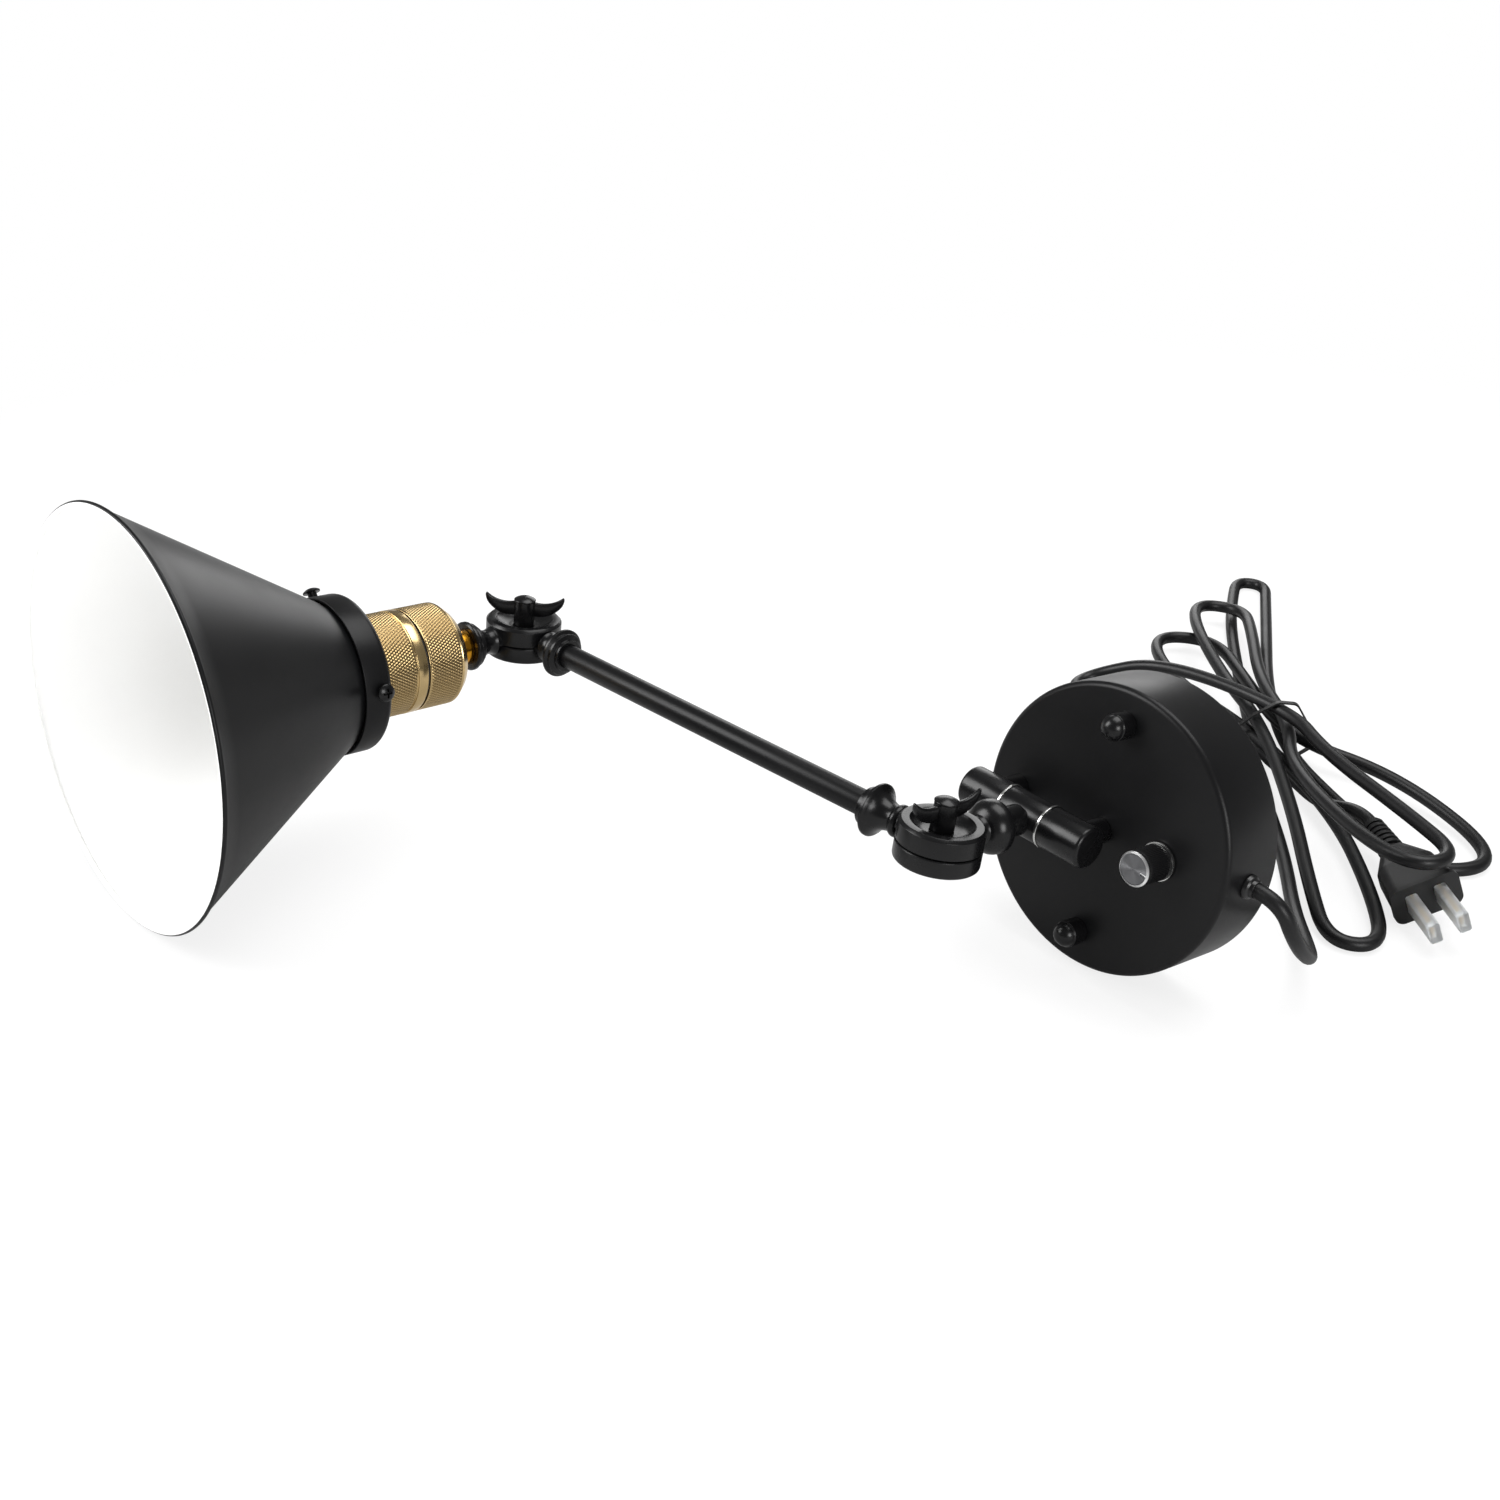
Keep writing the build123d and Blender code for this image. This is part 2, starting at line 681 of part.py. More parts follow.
def dimmer_knob():
    base = knob_base_diameter / 2
    top = knob_diameter / 2
    end = knob_height - knob_cap_height
    recess = bushing_nut_flats / 2 / cos(pi / 6) + 0.3
    bore = shaft_diameter / 2
    shaft_top = knob_height - knob_cap_height - 2.0
    points = [(recess, knob_lift), (base, knob_lift), (top, end), (0, end), (0, shaft_top), (bore, shaft_top)]
    points += [(bore, knob_recess + 0.6), (recess, knob_recess + 0.6)]
    knob = turned(points)
    flat = Pos(shaft_diameter / 2 + 0.5, 0, shaft_top - 3.0) * Box(3.0, 10.0, 6.0)
    core = rod(shaft_diameter / 2 + 0.4, shaft_top - 6.0, shaft_top)
    return knob_seat * Rot(0, 0, knob_notch_angle) * (knob + (core & flat))


def knob_cap():
    radius = knob_diameter / 2
    start = knob_height - knob_cap_height
    points = [(0, start), (radius, start), (radius, knob_height - 0.6), (radius - 0.7, knob_height)]
    points += [(radius - 1.0, knob_height), (radius - 1.2, knob_height - 0.2), (0, knob_height - 0.2)]
    disc = turned(points)
    mark = Pos(radius - 2.2, 0, knob_height - 0.2) * Box(2.6, 0.9, 0.7)
    return knob_seat * Rot(0, 0, knob_notch_angle) * (disc - mark)


def knob_ring():
    outer = knob_ring_diameter / 2
    inner = knob_base_diameter / 2 - 0.1
    ring = tube(outer, inner, knob_lift, knob_lift + knob_ring_width)
    return knob_seat * (ring - dimmer_knob_skin())


# The knob's own outside, so that its trim ring seats on the taper
def dimmer_knob_skin():
    base = knob_base_diameter / 2
    top = knob_diameter / 2
    end = knob_height - knob_cap_height
    return turned([(0, knob_lift), (base, knob_lift), (top, end), (0, end)])


# Cord entry in the canopy's side wall
cord_seat = Pos(canopy_diameter / 2, 0, cord_exit_depth) * along_x


def cord_grommet():
    flange = grommet_flange_diameter / 2
    neck = grommet_neck_diameter / 2
    bore = cord_diameter / 2
    inside = -canopy_wall - 0.4
    points = [(bore, inside - 3.0), (neck - 0.6, inside - 3.0), (neck + 0.8, inside - 0.4), (neck + 0.8, inside)]
    points += [(neck, inside), (neck, 0), (flange, 0), (flange - 0.6, grommet_flange)]
    points += [(neck - 0.5, grommet_flange + 0.6), (bore + 0.5, grommet_reach), (bore, grommet_reach)]
    return cord_seat * turned(points)


keep("canopy_pan", canopy_pan())
keep("mounting_bracket", mounting_bracket())
keep("bracket_studs", *bracket_studs())
keep("stud_lock_nuts", *stud_lock_nuts())
keep("cap_nuts", *cap_nuts())
for name, side in (("left", -1), ("right", 1)):
    keep("fork_post_" + name, fork_post(side))
    keep("post_screw_" + name, post_screw(side))
    keep("barrel_end_" + name, barrel_end(side))
keep("swivel_pin", swivel_pin())
keep("ring_washers", *ring_washers())
keep("swivel_centre", swivel_centre())
keep("knuckle_1_lower", knuckle_1_seat * knuckle_lower(mushroom_neck()))
keep("knuckle_1_upper", arm_seat * knuckle_upper(bell_neck()))
keep("knuckle_1_friction_washer", knuckle_1_seat * friction_washer())
keep("knuckle_1_nut", knuckle_1_seat * knuckle_nut())
keep("wing_screw_1", arm_seat * Rot(0, wing_1_angle - 90, 0) * wing_screw())
keep("arm_tube", arm_seat * arm_tube())
keep("knuckle_2_lower", knuckle_2_seat * knuckle_lower(ringed_neck()))
keep("knuckle_2_upper", head_seat * knuckle_upper(head_neck()))
keep("knuckle_2_friction_washer", knuckle_2_seat * friction_washer())
keep("knuckle_2_nut", knuckle_2_seat * knuckle_nut())
keep("wing_screw_2", head_seat * Rot(0, wing_2_angle - 90, 0) * wing_screw())
keep("brass_nipple", head_seat * brass_nipple())
keep("socket_cap", head_seat * socket_cap())
keep("socket_gasket", head_seat * socket_gasket())
keep("socket_shell", head_seat * socket_shell())
keep("socket_insulator", head_seat * socket_insulator())
keep("screw_shell", head_seat * screw_shell())
keep("centre_contact", head_seat * centre_contact())
keep("shade_collar", head_seat * shade_collar())
keep("collar_screws", *[head_seat * screw for screw in collar_screws()])
keep("shade_ring", head_seat * shade_ring())
keep("lamp_shade", head_seat * lamp_shade())
keep("dimmer_body", dimmer_body())
keep("dimmer_nut", dimmer_nut())
keep("dimmer_shaft", dimmer_shaft())
keep("dimmer_knob", dimmer_knob())
keep("knob_cap", knob_cap())
keep("knob_ring", knob_ring())
keep("cord_grommet", cord_grommet())


# Cord: a tube of straight runs and tangent arcs, each arc as large as its two runs allow
def corner_radii(points):
    radii = []
    for before, corner, after in zip(points, points[1:], points[2:]):
        coming = corner - before
        going = after - corner
        turn = radians(coming.get_angle(going))
        radii.append(0.45 * min(coming.length, going.length) / tan(turn / 2))
    return radii


def cord_path(points):
    return FilletPolyline(*points, radius=corner_radii(points))


def cord_tube(points):
    path = cord_path(points)
    section = Plane(origin=path @ 0, z_dir=path % 0) * Circle(cord_diameter / 2)
    return sweep(section, path=path), path


def report_cord(name, points, tube, path):
    share = tube.volume / (path.length * pi * cord_diameter**2 / 4)
    radii = [round(radius, 1) for radius in corner_radii(points)]
    print(name, "length", round(path.length, 1), "volume share", round(share, 4), "radii", radii)


# The least gap between turns of one path, measured on points along it
def least_gap(path, step=3.0, apart=34.0):
    count = int(path.length / step)
    points = [path.position_at(index / count) for index in range(count + 1)]
    skip = int(apart / step)
    least = path.length
    for index, here in enumerate(points):
        for other in points[index + skip:]:
            if abs(here.X - other.X) < least and abs(here.Y - other.Y) < least:
                least = min(least, (here - other).length)
    return least - cord_diameter


# One loop of the hank, drawn as a leaf: its strands leave the tie side by side, part, and meet at a
# rounded tip. The leaf's spine bends aside by bow, and its levels are counted in cord layers.
strand_floor = table + cord_diameter / 2
strand_root = 0.62 * cord_diameter
widest = 0.68
tip_share = 0.75


def leaf_width(share):
    if share < widest:
        return (1 - cos(pi * share / widest)) / 2
    return 1 - (1 - tip_share) * ((share - widest) / (1 - widest)) ** 2


def leaf_marks(reach, spread):
    run = 1.7 * tip_share * spread
    marks = [reach]
    while marks[-1] - run > max(0.16 * reach, 24.0):
        marks.append(marks[-1] - run)
        run = min(1.7 * run, 70.0)
    return marks


def hank_loop(heading, reach, spread, bow, side, level_out, level_tip, level_back, fall_from):
    direction = Vector(cos(radians(heading)), sin(radians(heading)), 0)
    across = Vector(-direction.Y, direction.X, 0)
    marks = leaf_marks(reach, spread)
    strands = [(mark, side, level_out) for mark in reversed(marks)]
    strands += [(mark, -side, level_back) for mark in marks]
    points = []
    for mark, hand, level in strands:
        share = mark / reach
        offset = hand * (strand_root + (spread / 2 - strand_root) * leaf_width(share))
        ahead = mark - offset * 2 * bow * share / reach
        aside = offset + bow * share**2
        fallen = max(0, (share - fall_from) / (1 - fall_from))
        height = strand_floor + layer_pitch * (level + (level_tip - level) * fallen)
        points.append(Vector(tie_x, tie_y, height) + direction * ahead + across * aside)
    return points


# Where a strand passes the tie: its slot counts to the right, seen from below
def tie_point(slot, level):
    turn = radians(tie_heading - 90)
    place = Vector(tie_x, tie_y, strand_floor + layer_pitch * level + tie_band + tie_slack)
    return place + Vector(cos(turn), sin(turn), 0) * slot * strand_pitch


exit_face = (lay_down * cord_seat * along(grommet_reach)).position
exit_lead = (lay_down * cord_seat * along(grommet_reach + 11.0)).position
exit_points = [
    exit_face,
    exit_lead,
    Vector(81, -9, -14),
    Vector(78, 11, -32),
    Vector(60, 39, -47),
    Vector(34, 69, strand_floor),
    Vector(8, 99, strand_floor),
    Vector(-20, 127, strand_floor),
]
hank_start = Vector(-46, 150, strand_floor)
low_slot = -2.1

# heading, reach, spread, bow, first side, level going out, level at the tip, level coming back, fall
hank_loops = [
    (196.0, 108.0, 30.0, -6.0, 1, 0.0, 0.2, 3.0, 0.65),
    (-37.0, 146.0, 30.0, 23.0, 1, 3.0, 3.9, 2.0, 0.15),
    (150.0, 153.0, 30.0, -36.0, -1, 2.0, 1.0, 2.0, 0.7),
    (-36.0, 166.0, 28.0, -16.0, -1, 2.0, 0.0, 1.0, 0.2),
    (165.0, 117.0, 42.0, -32.0, 1, 1.0, 0.6, 1.0, 0.9),
    (15.0, 112.0, 44.0, -48.0, 1, 1.0, 0.0, 0.0, 0.3),
    (134.5, 212.0, 20.0, -20.0, -1, 0.0, 0.0, 0.0, 0.5),
]
hank_slots = [low_slot, 1, 1, -1, -1, 1, 1, -1]


def hank_points():
    points = []
    for slot, loop in zip(hank_slots, hank_loops):
        points.append(tie_point(slot, loop[5]))
        points += hank_loop(*loop)
    points.append(tie_point(hank_slots[-1], 0))
    return points


# The plug lies on its lower flange corner, rolled towards the shade
flange_wide = plug_width / 2 + plug_flange_proud - plug_corner
flange_deep = plug_thickness / 2 + plug_flange_proud - plug_corner
plug_lean = radians(plug_roll)
plug_height = flange_wide * sin(plug_lean) + flange_deep * cos(plug_lean) + plug_corner
plug_entry = Vector(plug_x, plug_y, table + plug_height)
plug_course = Rot(0, 0, plug_heading) * Rot(0, 90, 0)
plug_seat = Pos(plug_entry.X, plug_entry.Y, plug_entry.Z) * plug_course * Rot(0, 0, 90 + plug_roll)
plug_lead = (plug_seat * along(-13.0)).position
plug_points = [
    Vector(-13, 156.5, strand_floor),
    plug_lead,
    plug_entry,
]
hank_end = Vector(-38, 167, strand_floor)


def halfway(a, b):
    return (a + b) / 2


exit_split = halfway(exit_points[-1], hank_start)
plug_split = halfway(hank_end, plug_points[0])
exit_route = exit_points + [exit_split]
hank_route = [exit_split, hank_start] + hank_points() + [hank_end, plug_split]
plug_route = [plug_split] + plug_points


# Flat tie round the eight strands at the waist, with its pinched tail
def cord_tie():
    corners = [(-3.2, 0), (1.4, 0), (2.45, 0.9), (0.9, 3.05), (0.1, 3.05), (-1.25, 2.05)]
    rise = tie_band + tie_slack + cord_diameter / 2
    outline = [(slot * strand_pitch, level * layer_pitch + rise) for slot, level in corners]
    core = make_face(Polyline(*outline, close=True))
    inner = offset(core, amount=cord_diameter / 2 + tie_slack)
    outer = offset(core, amount=cord_diameter / 2 + tie_slack + tie_band)
    band = extrude(outer - inner, amount=tie_width / 2, both=True)
    low_x = outline[0][0] - cord_diameter / 2 - tie_slack
    tail = Pos(low_x - tie_tail / 2, rise, 0) * Box(tie_tail, tie_band, tie_width)
    return Pos(tie_x, tie_y, table) * Rot(0, 0, tie_heading - 90) * Rot(90, 0, 0) * (band + tail)


# Moulded plug: a ribbed strain relief, a body that widens to its face, two blades and their caps
def plug_body():
    relief = relief_diameter / 2
    neck = cord_diameter / 2 + 0.9
    core = loft([Pos(0, 0, 0) * Circle(neck), Pos(0, 0, relief_length) * Circle(relief - 0.9)])
    pitch = (relief_length - 4.0) / relief_ribs
    for index in range(relief_ribs):
        height = 2.0 + index * pitch
        radius = neck + (relief - neck) * height / relief_length + 0.7
        core += rod(radius, height, height + pitch * 0.55)
    length = relief_length + plug_length - plug_flange
    rear = Pos(0, 0, relief_length) * RectangleRounded(13.0, 12.6, 5.0)
    middle = Pos(0, 0, relief_length + 13.0) * RectangleRounded(plug_width - 3.0, plug_thickness - 1.6, 5.0)
    front = Pos(0, 0, length) * RectangleRounded(plug_width, plug_thickness, 4.0)
    body = loft([rear, middle], ruled=True) + loft([middle, front], ruled=True)
    wide = plug_width + 2 * plug_flange_proud
    deep = plug_thickness + 2 * plug_flange_proud
    face = extrude(Pos(0, 0, length) * RectangleRounded(wide, deep, plug_corner), plug_flange)
    body = core + body + face
    for place in blade_seats():
        slot = place * Pos(0, 0, -4.0) * Box(blade_thickness, blade_width, 8.0)
        body -= slot
    return plug_seat * body


def blade_seats():
    front = relief_length + plug_length
    return [Pos(side * blade_spacing / 2, 0, front) for side in (-1, 1)]


def plug_blades():
    blades = []
    for place in blade_seats():
        blade = Pos(0, 0, (blade_length - 8.0) / 2) * Box(blade_thickness, blade_width, blade_length + 8.0)
        tip = blade.edges().filter_by(Axis.Y).sort_by(Axis.Z)[-2:]
        blade = chamfer(tip, 0.45)
        hole = Pos(0, 0, blade_length - 5.5) * Rot(0, 90, 0) * Cylinder(1.6, 4.0)
        blades.append(plug_seat * place * (blade - hole))
    return blades


def blade_covers():
    covers = []
    for place in blade_seats():
        wide = blade_cover_width
        deep = blade_cover_thickness
        cover = extrude(RectangleRounded(deep, wide, 1.2), blade_cover_length)
        inside = blade_length + 1.5
        hollow = extrude(
            Rectangle(blade_thickness + 2 * blade_play, blade_width + 2 * blade_play), inside
        )
        tip = cover.faces().sort_by(Axis.Z)[-1].edges()
        cover = fillet(tip, 0.8) - hollow
        covers.append(plug_seat * place * cover)
    return covers


for name, route in (("cord_exit_run", exit_route), ("cord_hank", hank_route), ("cord_plug_run", plug_route)):
    solid, path = cord_tube(route)
    report_cord(name, route, solid, path)
    nodes[name] = solid
    if name == "cord_hank":
        print("least gap between the hank's strands", round(least_gap(path), 2))

nodes["cord_tie"] = cord_tie()
nodes["plug_body"] = plug_body()
nodes["plug_blades"] = Compound(plug_blades())
nodes["blade_covers"] = Compound(blade_covers())

for name, solid in nodes.items():
    export_step(solid, "parts/" + name + ".step")
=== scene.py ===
import json
from math import asin, atan2, copysign, cos, pi, radians, sin, sqrt, tan

import bmesh
import bpy
from mathutils import Matrix, Vector


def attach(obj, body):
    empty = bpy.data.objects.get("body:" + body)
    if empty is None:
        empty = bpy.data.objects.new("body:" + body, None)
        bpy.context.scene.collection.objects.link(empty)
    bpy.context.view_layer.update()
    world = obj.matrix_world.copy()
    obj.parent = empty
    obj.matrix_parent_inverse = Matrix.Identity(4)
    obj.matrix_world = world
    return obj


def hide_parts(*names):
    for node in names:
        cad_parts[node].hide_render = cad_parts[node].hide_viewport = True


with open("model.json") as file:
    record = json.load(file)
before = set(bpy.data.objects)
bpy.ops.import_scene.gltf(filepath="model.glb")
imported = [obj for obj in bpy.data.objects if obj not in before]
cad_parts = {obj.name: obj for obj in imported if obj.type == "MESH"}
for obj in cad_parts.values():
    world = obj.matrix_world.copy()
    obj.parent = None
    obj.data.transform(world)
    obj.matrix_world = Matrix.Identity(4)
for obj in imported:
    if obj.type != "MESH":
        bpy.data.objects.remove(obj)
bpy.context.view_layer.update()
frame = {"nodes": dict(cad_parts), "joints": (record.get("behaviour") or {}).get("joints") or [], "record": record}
print("frame loaded,", len(frame["nodes"]), "nodes")

scene = bpy.context.scene
scene.view_settings.view_transform = "Standard"

# Camera, fitted to the photograph in millimetres of the row frame
camera = {
    "place": (372.949, -547.040, 381.473),
    "right": (0.63892193, 0.76783654, 0.04696611),
    "up": (-0.40369581, 0.28269539, 0.87012241),
    "back": (0.65483468, -0.57490031, 0.49059268),
    "focalPixels": 1822.114,
    "imagePixels": 1500,
}


def makeCamera():
    data = bpy.data.cameras.new("studioCamera")
    data.sensor_width = 36.0
    data.lens = 36.0 * camera["focalPixels"] / camera["imagePixels"]
    data.clip_start = 0.01
    data.clip_end = 60.0
    columns = Matrix((camera["right"], camera["up"], camera["back"])).transposed().to_4x4()
    place = Matrix.Translation(Vector(camera["place"]) / 1000)
    shown = bpy.data.objects.new("studioCamera", data)
    shown.matrix_world = place @ columns
    scene.collection.objects.link(shown)
    scene.camera = shown


makeCamera()

# The lamp's own frames, from its joints and its socket
joints = {joint["name"]: joint for joint in frame["joints"]}
mounts = {mount["name"]: mount for mount in frame["record"]["mounts"]}


def frameOf(origin, alongZ, alongY):
    z = Vector(alongZ).normalized()
    y = Vector(alongY).normalized()
    x = y.cross(z).normalized()
    z = x.cross(y)
    turn = Matrix((x, y, z)).transposed().to_4x4()
    return Matrix.Translation(Vector(origin)) @ turn


swivelAxis = Vector(joints["barrel_swivel"]["axis"])
knuckleOneAxis = Vector(joints["knuckle_1"]["axis"])
knuckleTwoAxis = Vector(joints["knuckle_2"]["axis"])
knuckleOne = Vector(joints["knuckle_1"]["pos_m"])
knuckleTwo = Vector(joints["knuckle_2"]["pos_m"])
wallNormal = swivelAxis.cross(knuckleOneAxis)

canopyFrame = frameOf((0, 0, 0), wallNormal, knuckleOneAxis)
stubFrame = frameOf(knuckleOne, wallNormal, knuckleOneAxis)
armFrame = frameOf(knuckleOne, knuckleTwo - knuckleOne, knuckleOneAxis)
armEndFrame = frameOf(knuckleTwo, knuckleTwo - knuckleOne, knuckleTwoAxis)
headFrame = frameOf(knuckleTwo, mounts["lamp_socket"]["axis"], knuckleTwoAxis)


def shifted(x, y, z):
    return Matrix.Translation((x / 1000, y / 1000, z / 1000))


def turnedBy(degreesAbout, axis):
    return Matrix.Rotation(radians(degreesAbout), 4, axis)


# Places on the canopy, across its face and out from its back
canopyPlaces = {"barrel": (-22.0, 0, 50.5), "knob": (29.4, 0, 32.0), "grommet": (60.0, 0, 16.0)}
barrelFrame = canopyFrame @ shifted(*canopyPlaces["barrel"])
knobFrame = canopyFrame @ shifted(*canopyPlaces["knob"])
grommetFrame = canopyFrame @ shifted(*canopyPlaces["grommet"]) @ turnedBy(90, "Y")
upright = turnedBy(-90, "X")
sideways = turnedBy(90, "Y")


# Colours are sRGB hex values
def linear(colour):
    values = []
    for start in (0, 2, 4):
        part = int(colour[start:start + 2], 16) / 255
        values.append(part / 12.92 if part <= 0.04045 else ((part + 0.055) / 1.055) ** 2.4)
    return (*values, 1.0)


def addNode(tree, kind, settings=None, values=None, links=None):
    node = tree.nodes.new(kind)
    for key, value in (settings or {}).items():
        setattr(node, key, value)
    for key, value in (values or {}).items():
        node.inputs[key].default_value = value
    for key, source in (links or {}).items():
        tree.links.new(source, node.inputs[key])
    return node


def newMaterial(name):
    material = bpy.data.materials.new(name)
    material.use_nodes = True
    tree = material.node_tree
    tree.nodes.clear()
    output = addNode(tree, "ShaderNodeOutputMaterial")
    shader = addNode(tree, "ShaderNodeBsdfPrincipled")
    tree.links.new(shader.outputs[0], output.inputs[0])
    return material, tree, shader


# One painted, moulded or plated surface: two close colours in patches, a fine grain in the
# relief, and a gloss that wanders a little. Sizes are in millimetres.
def finishMaterial(name, look):
    material, tree, shader = newMaterial(name)
    place = addNode(tree, "ShaderNodeTexCoord").outputs["Object"]
    patches = addNode(
        tree,
        "ShaderNodeTexNoise",
        values={"Scale": 1000 / look["patch"], "Detail": 4.0, "Roughness": 0.55}, links={"Vector": place},
    )
    grain = addNode(
        tree,
        "ShaderNodeTexNoise",
        values={"Scale": 1000 / look["grain"], "Detail": 3.0, "Roughness": 0.6}, links={"Vector": place},
    )
    colour = addNode(
        tree,
        "ShaderNodeMix",
        settings={"data_type": "RGBA"},
        values={"A": linear(look["colour"]), "B": linear(look["second"])},
        links={"Factor": patches.outputs[0]},
    )
    gloss = addNode(
        tree,
        "ShaderNodeMapRange",
        values={"From Min": 0.3, "From Max": 0.7, "To Min": look["rough"][0], "To Max": look["rough"][1]},
        links={"Value": patches.outputs[0]},
    )
    relief = addNode(
        tree,
        "ShaderNodeBump",
        values={"Strength": look["relief"], "Distance": look["grain"] / 1000 * 0.25},
        links={"Height": grain.outputs[0]},
    )
    tree.links.new(colour.outputs["Result"], shader.inputs["Base Color"])
    tree.links.new(gloss.outputs[0], shader.inputs["Roughness"])
    tree.links.new(relief.outputs[0], shader.inputs["Normal"])
    for socket, value in look.get("shader", {}).items():
        shader.inputs[socket].default_value = value
    # Painted shade: where the relief marks a knurl's hollows, the colour mixes towards a darker one
    if "valleyShade" in look:
        hollowShade = addNode(
            tree, "ShaderNodeAttribute",
            settings={"attribute_type": "GEOMETRY", "attribute_name": "valleyShade"}
        )
        darker = addNode(
            tree, "ShaderNodeMix", settings={"data_type": "RGBA"}, values={"B": linear(look["valleyShade"])},
            links={"Factor": hollowShade.outputs["Fac"], "A": colour.outputs["Result"]},
        )
        tree.links.new(darker.outputs["Result"], shader.inputs["Base Color"])
    return material


materialLooks = {
    # Satin powder coat on steel: an even black with a very fine orange peel and soft highlights
    "satinBlackPowderCoat": {
        "colour": "0B0B0C", "second": "0F0F10", "patch": 40.0, "grain": 0.9, "relief": 0.05,
        "rough": (0.34, 0.40), "shader": {"Specular IOR Level": 0.2},
    },
    # Semi-gloss paint over cast and turned links: tighter highlights than the sheet parts
    "semiGlossBlackPaint": {
        "colour": "09090A", "second": "0C0C0D", "patch": 14.0, "grain": 0.7, "relief": 0.02,
        "rough": (0.24, 0.29), "shader": {"Specular IOR Level": 0.3},
    },
    # White enamel inside the shade: smooth, almost flat white
    "whiteShadeEnamel": {
        "colour": "E5E5E4", "second": "E1E1E0", "patch": 60.0, "grain": 1.2, "relief": 0.04,
        "rough": (0.42, 0.5),
    },
    # Turned brass under clear lacquer: warm yellow, with painted shade darkening the knurl's hollows
    "lacqueredBrass": {
        "colour": "D6BC8A", "second": "CBB07C", "patch": 9.0, "grain": 0.35, "relief": 0.03,
        "rough": (0.2, 0.26), "valleyShade": "6B5330", "shader": {"Metallic": 1.0},
    },
    # Polished brass of the nipple: deeper and brighter than the knurled shells
    "polishedBrass": {
        "colour": "D79B2C", "second": "C6861C", "patch": 6.0, "grain": 0.3, "relief": 0.05,
        "rough": (0.14, 0.2), "shader": {"Metallic": 1.0},
    },
    # Bright washers: machined steel, cleaner than the plated hardware
    "machinedSteel": {
        "colour": "D8D8D6", "second": "C6C6C4", "patch": 5.0, "grain": 0.25, "relief": 0.1,
        "rough": (0.2, 0.27), "shader": {"Metallic": 1.0},
    },
    # Zinc plate on the hidden hardware: dull, slightly cloudy grey
    "zincPlate": {
        "colour": "B9BABA", "second": "9FA1A3", "patch": 4.0, "grain": 0.5, "relief": 0.15,
        "rough": (0.34, 0.46), "shader": {"Metallic": 1.0},
    },
    # Vinyl cord jacket: matt black with a faint sheen along its top
    "vinylJacket": {
        "colour": "0B0B0C", "second": "0F0F10", "patch": 25.0, "grain": 0.6, "relief": 0.08,
        "rough": (0.36, 0.44), "shader": {"Specular IOR Level": 0.3},
    },
    # Moulded vinyl of the plug: like the cord, a little rougher
    "mouldedVinyl": {
        "colour": "0B0B0C", "second": "0F0F10", "patch": 14.0, "grain": 0.5, "relief": 0.1,
        "rough": (0.42, 0.5),
    },
    # Moulded black plastic of the knob, dimmer and grommet
    "mouldedPlastic": {
        "colour": "0A0A0B", "second": "0E0E0F", "patch": 10.0, "grain": 0.4, "relief": 0.04,
        "rough": (0.28, 0.34),
    },
    # Glazed porcelain of the socket's inside: creamy white and glossy
    "glazedPorcelain": {
        "colour": "EFEBE2", "second": "E5DFD2", "patch": 15.0, "grain": 1.0, "relief": 0.05,
        "rough": (0.1, 0.16), "shader": {"Coat Weight": 0.6, "Coat Roughness": 0.06},
    },
    # Rolled brass sheet of the contacts and blades: yellow metal, duller than the turned brass
    "rolledBrassSheet": {
        "colour": "D6B065", "second": "BF974C", "patch": 6.0, "grain": 0.4, "relief": 0.12,
        "rough": (0.28, 0.36), "shader": {"Metallic": 1.0},
    },
    # Pressed fibre washers: dull grey-black
    "pressedFibre": {
        "colour": "222120", "second": "2B2A28", "patch": 3.0, "grain": 0.3, "relief": 0.3,
        "rough": (0.7, 0.8),
    },
    # Blade covers: thin natural polypropylene, cloudy and see-through
    "naturalPolypropylene": {
        "colour": "F4F6F7", "second": "E9EDEF", "patch": 6.0, "grain": 0.5, "relief": 0.05,
        "rough": (0.28, 0.36), "shader": {"Transmission Weight": 0.88, "IOR": 1.49},
    },
    # Film tie round the hank: black with a faint gloss on its flat sides
    "blackTieFilm": {
        "colour": "0A0A0A", "second": "111111", "patch": 3.0, "grain": 0.5, "relief": 0.1,
        "rough": (0.35, 0.45),
    },
}
materials = {name: finishMaterial(name, look) for name, look in materialLooks.items()}


# Spun aluminium: lathe rings too fine to see one by one spread each highlight into a fan from
# the knob's centre, inside a brighter cut rim; a short bright line points to the setting
knobFace = {
    "colour": "7E7E80", "second": "6E6F71", "bright": "E4E4E4", "patch": 2.5, "rough": 0.34,
    "spread": 0.9, "rim": 6.3, "lineStart": 3.4, "lineHalf": 0.25, "lineTurn": -3.7,
}


